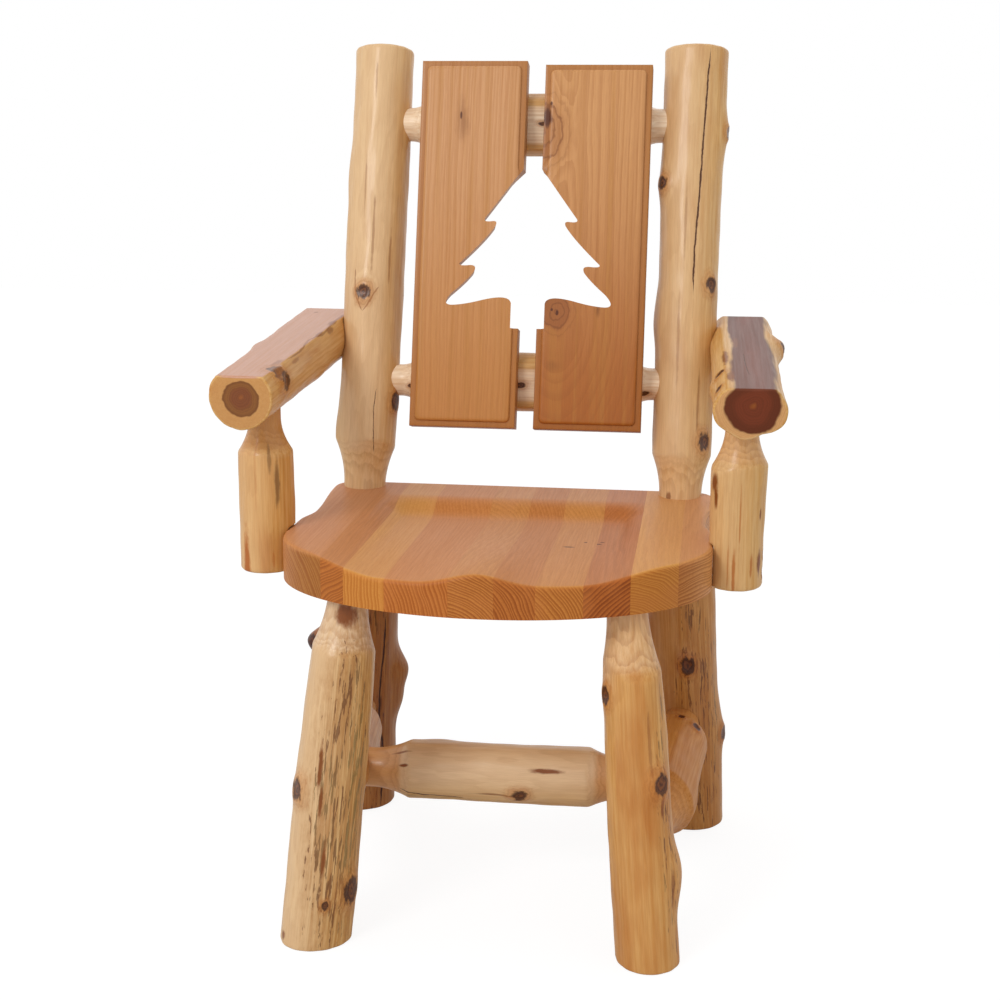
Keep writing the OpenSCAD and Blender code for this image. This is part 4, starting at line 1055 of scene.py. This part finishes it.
def boardMaterial(name, board, middle, seed):
    desk = NodeDesk(bpy.data.materials.new(name + "_wood"))
    wood = desk.attribute("wood")
    body = wood + (seed * 7.0, seed * 13.0, seed * 3.0)
    centre = (wood - (board["heart"][0], 0, board["heart"][1])) * (1, 0, 1)
    depth = desk.length(centre + desk.wobble(body, boardGrain))
    late = desk.lateWood(depth, board["rings"], (0.0, seed), boardGrain)
    fibre, fine, cloud = (desk.noise(body, *boardGrain[kind]) for kind in ("fibre", "fine", "cloud"))
    sideways, endways, upward = desk.split(desk.read("NewGeometry", "Normal"))
    dark = tone(*board["late"])
    # Ring lines are painted fainter on faces that point up, where the painted sheen lies over them.
    lines = desk.ramp(upward, 0.35, 0.85) * -0.62 + 0.85
    desk.colour = desk.mix(late * lines, tone(*board["early"]), dark)
    desk.paint(desk.ramp(fibre, 0.35, 0.75, 0.0, 0.3), dark)
    desk.paint(desk.ramp(cloud, 0.45, 0.75, 0.0, 0.3), boardTones["cloud"])
    # Faces that point up are painted pinker, a painted sheen of the finish.
    desk.paint(desk.ramp(upward, 0.9, 0.99, 0.0, 0.36), boardTones["top"])
    desk.paint(desk.ramp(fine, 0.35, 0.8, 0.0, 0.15), boardTones["dust"], "MULTIPLY")
    # End grain drinks in the lacquer and turns deeper.
    end = tone(*board.get("end", boardTones["end"]))
    desk.paint(desk.ramp(abs(endways), 0.25, 0.8), end, "MULTIPLY")
    for x, y, halfX, halfY in board.get("marks", []):
        far = desk.length((wood - (x - middle, y, 0)) * (1 / halfX, 1 / halfY, 0))
        desk.paint(desk.fade(far, 0.5, 1.1, 0.85), boardTones["mark"])
    height = late * boardGrain["lateBump"] + fine * boardGrain["fineBump"]
    return desk.lacquer(desk.ramp(fibre, 0.2, 0.8, *boardGrain["rough"]), height, finishes["seat"])


left = -halfWidth
for number, board in enumerate(boards, 1):
    makeBoard("seat_board_%d" % number, board, left, left + board["width"])
    left += board["width"]
print("seat boards made:", len(boards))


slat = {
    "width": 139, "height": 476, "thick": 28, "gap": 24, "shift": 4.5, "foot": 78, "pitch": 14.0,
    # A border is routed round each slat's face, which leaves a raised panel with round corners.
    "border": 7.0, "step": 4.0, "cornerRound": 7.0, "edge": 1.2, "sharpAngle": 32,
    "borderRows": (0.6, 1.4, 2.4, 4.0, 6.5), "clearOfCut": 2.0,
    # Half of the tree as bends, its points out from the trunk's centre and up from its foot.
    "treeFoot": 208, "trunk": 22, "bendSteps": 14,
    "undercut": 5.0, "undercutReach": 15,     # the saw leaned, so the tree is a little wider behind
    "tree": [((0, 226), (28, 186), (60, 143)), ((60, 143), (63, 138), (52, 139)),
             ((52, 139), (42, 141), (46, 133)), ((46, 133), (57, 116), (91, 84)),
             ((91, 84), (94, 80), (81, 81)), ((81, 81), (67, 83), (72, 73)),
             ((72, 73), (80, 62), (100, 45)), ((100, 45), (116, 28), (98, 29)),
             ((98, 29), (82, 30), (60, 36)), ((60, 36), (24, 45), (22, 32))],
}
slatGrain = {
    "late": (0.1, 0.9, 0.92), "sway": 3.6, "swayNoise": ((0.07, 1, 1), 2),
    "bend": (18, 12, 0), "bendNoise": ((0.014, 0.014, 0.0035), 3, 0.5),
    "wander": ((0.1, 0.1, 0.05), 3, 0.5), "fibre": ((0.45, 0.45, 0.006), 4, 0.65),
    "streak": ((0.1, 0.1, 0.0018), 2, 0.6), "fine": ((1.8, 1.8, 0.05), 2, 0.5),
    "cloud": ((0.02, 0.02, 0.004), 2, 0.5), "rough": (0.38, 0.48), "lateBump": 0.06, "fineBump": 0.08,
}
slatTones = {
    "gold": tone(182, 124, 56), "swirl": tone(152, 90, 46), "arc": tone(122, 70, 32),
    "core": tone(84, 40, 22), "border": tone(160, 98, 38), "dust": tone(150, 100, 60),
}
# A knot is its place across and along, half its width and length, and how strong its fill is.
slatLooks = {
    "back_slat_left": {
        "seed": 3.0, "side": -1, "rise": 5, "arch": (-190, 0, 0.0), "rings": 5.5,
        "top": (206, 152, 104), "low": (194, 132, 70), "line": (170, 106, 46), "lineShare": 0.26,
        "swirls": [], "cores": [(-92, 486, 1.6, 6)], "feathers": [(-90, 480, 10, 36, 0.5)]},
    "back_slat_right": {
        "seed": 8.0, "side": 1, "rise": 0, "arch": (43, 226, 0.45), "rings": 9.0,
        "top": (208, 152, 98), "low": (170, 100, 40), "line": (150, 86, 34), "lineShare": 0.24,
        "swirls": [(17, 466, 29, 42, 0.45), (42, 230, 20, 25, 0.8)],
        "cores": [(21, 484, 6.5, 15), (36, 233, 1.8, 2.4), (43, 229, 2.0, 3.6), (26, 502, 1.8, 2.6)],
        "feathers": [(96, 234, 3.5, 13, 0.8), (40, 160, 14, 8, 0.3)]},
}


def bendPoint(bend, share):
    start, pull, stop = (np.array(p, float) for p in bend)
    return start * (1 - share) ** 2 + pull * 2 * share * (1 - share) + stop * share ** 2


def edgeRows(low, high):
    # Close together over the routed border, and evenly spread between.
    near = [0, 0.5, slat["edge"], 4, slat["border"]] + [slat["border"] + d for d in slat["borderRows"]]
    count = round((high - low - 2 * near[-1]) / slat["pitch"])
    middle = np.linspace(low + near[-1], high - near[-1], count + 1)[1:-1].tolist()
    return [low + n for n in near] + middle + [high - n for n in reversed(near)]


def slatOutline(top):
    # The slat's outline as a loop, where the tree's cut starts and stops in it, and a grid inside.
    inner, outer = slat["gap"] / 2, slat["gap"] / 2 + slat["width"]
    low, treeFoot = slat["foot"], slat["treeFoot"]
    out, up = edgeRows(inner, outer), edgeRows(low, top)
    steps = slat["bendSteps"]
    tree = [bendPoint(bend, k / steps) for bend in slat["tree"] for k in range(steps)]
    tree.append(np.array(slat["tree"][-1][2], float))
    first = next(k for k, point in enumerate(tree) if point[0] > inner)
    share = (inner - tree[first - 1][0]) / (tree[first][0] - tree[first - 1][0])
    start = blend(tree[first - 1], tree[first], share)
    cut = [(x, y + treeFoot) for x, y in [start] + tree[first:]] + [(slat["trunk"], treeFoot)]
    loop = [(x, low) for x in out[:-1]] + [(outer, y) for y in up[:-1]]
    loop += [(x, top) for x in reversed(out[1:])] + [(inner, y) for y in reversed(up) if y > cut[0][1] + 0.5]
    cutFrom = len(loop)
    loop += cut + [(x, treeFoot) for x in reversed(out) if inner < x < slat["trunk"] - 0.5]
    loop += [(inner, treeFoot)] + [(inner, y) for y in reversed(up) if low < y < treeFoot - 0.5]
    grid = np.array([(x, y) for x in out[1:-1] for y in up[1:-1]])
    return np.array(loop), cutFrom, cutFrom + len(cut), grid


def insideLoop(points, loop):
    inside = np.zeros(len(points), bool)
    for start, stop in zip(loop, np.roll(loop, -1, 0)):
        spans = (start[1] > points[:, 1]) != (stop[1] > points[:, 1])
        rise = stop[1] - start[1] or 1.0
        cross = start[0] + (points[:, 1] - start[1]) * (stop[0] - start[0]) / rise
        inside ^= spans & (points[:, 0] < cross)
    return inside


def routedDepth(points, top):
    # How far the face falls back at the border, and at the slat's own edge.
    inner, low = slat["gap"] / 2, slat["foot"]
    across = np.minimum(points[:, 0] - inner, inner + slat["width"] - points[:, 0])
    upward = np.minimum(points[:, 1] - low, top - points[:, 1])
    bend = slat["border"] + slat["cornerRound"]
    onPanel = slat["cornerRound"] - np.hypot(np.maximum(bend - across, 0), np.maximum(bend - upward, 0))
    return (arcDrop(slat["step"] - onPanel, slat["step"])
            + arcDrop(slat["edge"] - np.minimum(across, upward), slat["edge"]))


def slatFace(loop, cut, grid):
    # Triangles that fill the loop, with the grid's points inside it but not near the cut.
    clear = np.min(np.linalg.norm(grid[:, None] - cut[None], axis=2), axis=1) > slat["clearOfCut"]
    grid = grid[clear & insideLoop(grid, loop)]
    edges = [(k, (k + 1) % len(loop)) for k in range(len(loop))]
    points = [Vector(p) for p in np.vstack([loop, grid]).tolist()]
    made = delaunay_2d_cdt(points, edges, [], 1, 1e-6)
    return np.array([tuple(v) for v in made[0]]), [tuple(f) for f in made[2]]


def makeSlat(name, look):
    top = slat["foot"] + slat["height"] + look["rise"]
    loop, cutFrom, cutTo, grid = slatOutline(top)
    cut = loop[cutFrom:cutTo]
    rearLoop = loop.copy()
    below = np.clip((cut[0, 1] - cut[:, 1]) / slat["undercutReach"], 0, 1)
    rearLoop[cutFrom:cutTo, 0] += slat["undercut"] * below
    face, faces = slatFace(loop, cut, grid)
    rear, rearFaces = slatFace(rearLoop, rearLoop[cutFrom:cutTo], grid)
    back = -chair["railFlat"]
    front = back - slat["thick"]
    plan = np.vstack([
        np.column_stack([face, front + routedDepth(face, top)]),
        np.column_stack([rear, np.full(len(rear), back)]),
        np.column_stack([loop, front + routedDepth(loop, top)]),
        np.column_stack([rearLoop, np.full(len(loop), back)])])
    n, m = len(face), len(loop)
    k = n + len(rear)
    faces += [tuple(n + v for v in reversed(f)) for f in rearFaces]
    faces += [(k + i, k + (i + 1) % m, k + m + (i + 1) % m, k + m + i) for i in range(m)]
    across, along, depth = slat["shift"] + look["side"] * plan[:, 0], plan[:, 1], plan[:, 2]
    mesh = bpy.data.meshes.new(name)
    mesh.from_pydata((inBack(across, depth, along).T * mm).tolist(), [], faces)
    store(mesh, "wood", "POINT", np.column_stack([across, depth, along]))
    work = bmesh.new()
    work.from_mesh(mesh)
    bmesh.ops.remove_doubles(work, verts=work.verts, dist=1e-6)
    bmesh.ops.recalc_face_normals(work, faces=work.faces)
    work.to_mesh(mesh)
    work.free()
    finishPiece(name, mesh, slat["sharpAngle"], slatMaterial(name, look, top))


def slatMaterial(name, look, top):
    seed = look["seed"]
    desk = NodeDesk(bpy.data.materials.new(name + "_wood"))
    wood = desk.attribute("wood")
    across, inward, along = desk.split(wood)
    body = wood + (seed * 41.0, seed * 13.0, seed * 97.0)
    # The rings stand upright, and below an arch they close round it.
    archX, archS, squash = look["arch"]
    under = desk.math("MINIMUM", along - archS, 0.0) * squash
    depth = desk.length(desk.join(across - archX, under, inward * 0.4) + desk.wobble(body, slatGrain))
    wander = desk.noise(body, *slatGrain["wander"]) - 0.5

    def reachOf(spot, sway):
        x, s, halfWide, halfLong = spot[:4]
        return wander * sway + desk.length(desk.join((across - x) / halfWide, (along - s) / halfLong, 0.0))

    swirls = [(reachOf(spot, 0.5), spot) for spot in look["swirls"]]
    for reach, spot in swirls:  # the grain runs round a knot
        depth = desk.math("EXPONENT", reach * reach * -0.8) * float(spot[2]) + depth
    late = desk.lateWood(depth, look["rings"], (seed, 0.0), slatGrain)
    noises = (desk.noise(body, *slatGrain[kind]) for kind in ("fibre", "streak", "fine", "cloud"))
    fibre, streak, fine, cloud = noises
    low = slat["foot"]
    line = tone(*look["line"])
    height = desk.ramp(along + cloud * 120.0, low + 60, top)
    desk.colour = desk.mix(height, tone(*look["low"]), tone(*look["top"]))
    desk.paint(desk.ramp(streak, 0.48, 0.7, 0.0, 0.45), slatTones["gold"])
    desk.paint(late * look["lineShare"], line)
    desk.paint(desk.ramp(fibre, 0.45, 0.8, 0.0, 0.4), line)
    # The routed border is painted browner all round the panel.
    middle = slat["shift"] + look["side"] * (slat["gap"] + slat["width"]) / 2
    bend = slat["border"] + slat["cornerRound"]
    sideways = desk.math("MAXIMUM", abs(across - middle) - (slat["width"] / 2 - bend), 0.0)
    upright = desk.math("MAXIMUM", abs(along - (low + top) / 2) - ((top - low) / 2 - bend), 0.0)
    far = desk.length(desk.join(sideways, upright, 0.0))
    routed = desk.ramp(far, slat["cornerRound"] - 1.2, slat["cornerRound"] + 0.4, 0.0, 0.6)
    desk.paint(routed, slatTones["border"])
    for reach, spot in swirls:
        desk.paint(desk.fade(reach, 0.78, 1.04, spot[4]), slatTones["swirl"])
        arcs = desk.ramp(desk.math("SINE", reach * 17.0), 0.5, 1.0)
        desk.paint(arcs * desk.fade(reach, 0.95, 1.35, 0.55), slatTones["arc"])
    for spot in look["feathers"]:
        stain = desk.fade(reachOf(spot, 1.2), 0.1, 1.2, spot[4]) * desk.ramp(fibre, 0.3, 0.6, 0.4, 1.0)
        desk.paint(stain, slatTones["arc"])
    for spot in look["cores"]:
        desk.paint(desk.fade(reachOf(spot, 0.9), 0.65, 1.15, 0.92), slatTones["core"])
    desk.paint(desk.ramp(fine, 0.35, 0.8, 0.0, 0.15), slatTones["dust"], "MULTIPLY")
    relief = late * slatGrain["lateBump"] + fine * slatGrain["fineBump"]
    return desk.lacquer(desk.ramp(fibre, 0.2, 0.8, *slatGrain["rough"]), relief, finishes["slat"])


steelLook = {"grit": 900, "dark": tone(150, 150, 152), "light": tone(196, 196, 198)}


def screwMaterial():
    desk = NodeDesk(bpy.data.materials.new("zinc_steel_look"))
    grit = desk.noise(desk.read("TexCoord", "Object"), (steelLook["grit"],) * 3, 3, 0.6)
    desk.colour = desk.mix(grit, steelLook["dark"], steelLook["light"])
    return desk.lacquer(desk.ramp(grit, 0.2, 0.8, 0.28, 0.42), grit, finishes["steel"])


for name, look in slatLooks.items():
    makeSlat(name, look)
steel = screwMaterial()
for name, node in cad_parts.items():
    if name in screwHosts:
        node.data.materials.clear()
        node.data.materials.append(steel)
print("slats and screws dressed")


studio = {
    "worldLight": 0.8,
    "floorSize": 14.0,
    "floorDrop": 0.0003,     # under the feet, so that the two never fight
    "floorGrey": 0.7,
    "floorGlow": 1.17,
    "glowShare": 0.75,     # how much of the glow the camera sees, which leaves the shadow in
    "aim": (0, 0, 0.5),
    "lamps": [
        {"name": "keyLamp", "at": (-1.35, -2.3, 2.3), "size": 1.0, "power": 32},
        {"name": "backLamp", "at": (0.7, 2.6, 2.8), "size": 1.8, "power": 9},
    ],
}


def makeWorld():
    # White where the camera or a reflection looks, and a plain level of light elsewhere.
    world = bpy.data.worlds.new("studioWorld")
    bpy.context.scene.world = world
    desk = NodeDesk(world)
    seen = desk.read("LightPath", "Is Camera Ray")
    for ray in ("Is Glossy Ray", "Is Transmission Ray"):
        seen = desk.math("MAXIMUM", seen, desk.read("LightPath", ray))
    level = desk.add("MapRange", {"Value": seen, "To Min": studio["worldLight"], "To Max": 1.0})
    light = desk.add("Background", {"Color": (1, 1, 1, 1), "Strength": level.outputs["Result"]})
    desk.add("OutputWorld", {"Surface": light.outputs[0]})


def makeFloor():
    half, grey = studio["floorSize"] / 2, studio["floorGrey"]
    corners = [(-half, -half), (half, -half), (half, half), (-half, half)]
    mesh = bpy.data.meshes.new("studioFloor")
    mesh.from_pydata([(x, y, -studio["floorDrop"]) for x, y in corners], [], [(0, 1, 2, 3)])
    putInScene("studioFloor", mesh)
    desk = NodeDesk(bpy.data.materials.new("studioFloor"))
    matt = desk.add("BsdfDiffuse", {"Color": (grey, grey, grey, 1)})
    glow = desk.add("Emission", {"Strength": studio["floorGlow"]})
    share = desk.read("LightPath", "Is Camera Ray") * studio["glowShare"]
    both = desk.add("MixShader", {0: share, 1: matt.outputs[0], 2: glow.outputs[0]})
    desk.add("OutputMaterial", {"Surface": both.outputs[0]})
    mesh.materials.append(desk.owner)


def makeLamps():
    for lamp in studio["lamps"]:
        data = bpy.data.lights.new(lamp["name"], "AREA")
        data.size = lamp["size"]
        data.energy = lamp["power"]
        holder = putInScene(lamp["name"], data)
        holder.location = lamp["at"]
        aim = Vector(studio["aim"]) - Vector(lamp["at"])
        holder.rotation_euler = aim.to_track_quat("-Z", "Y").to_euler()


makeWorld()
makeFloor()
makeLamps()
bpy.context.scene.view_settings.view_transform = "Standard"
print("studio lit")
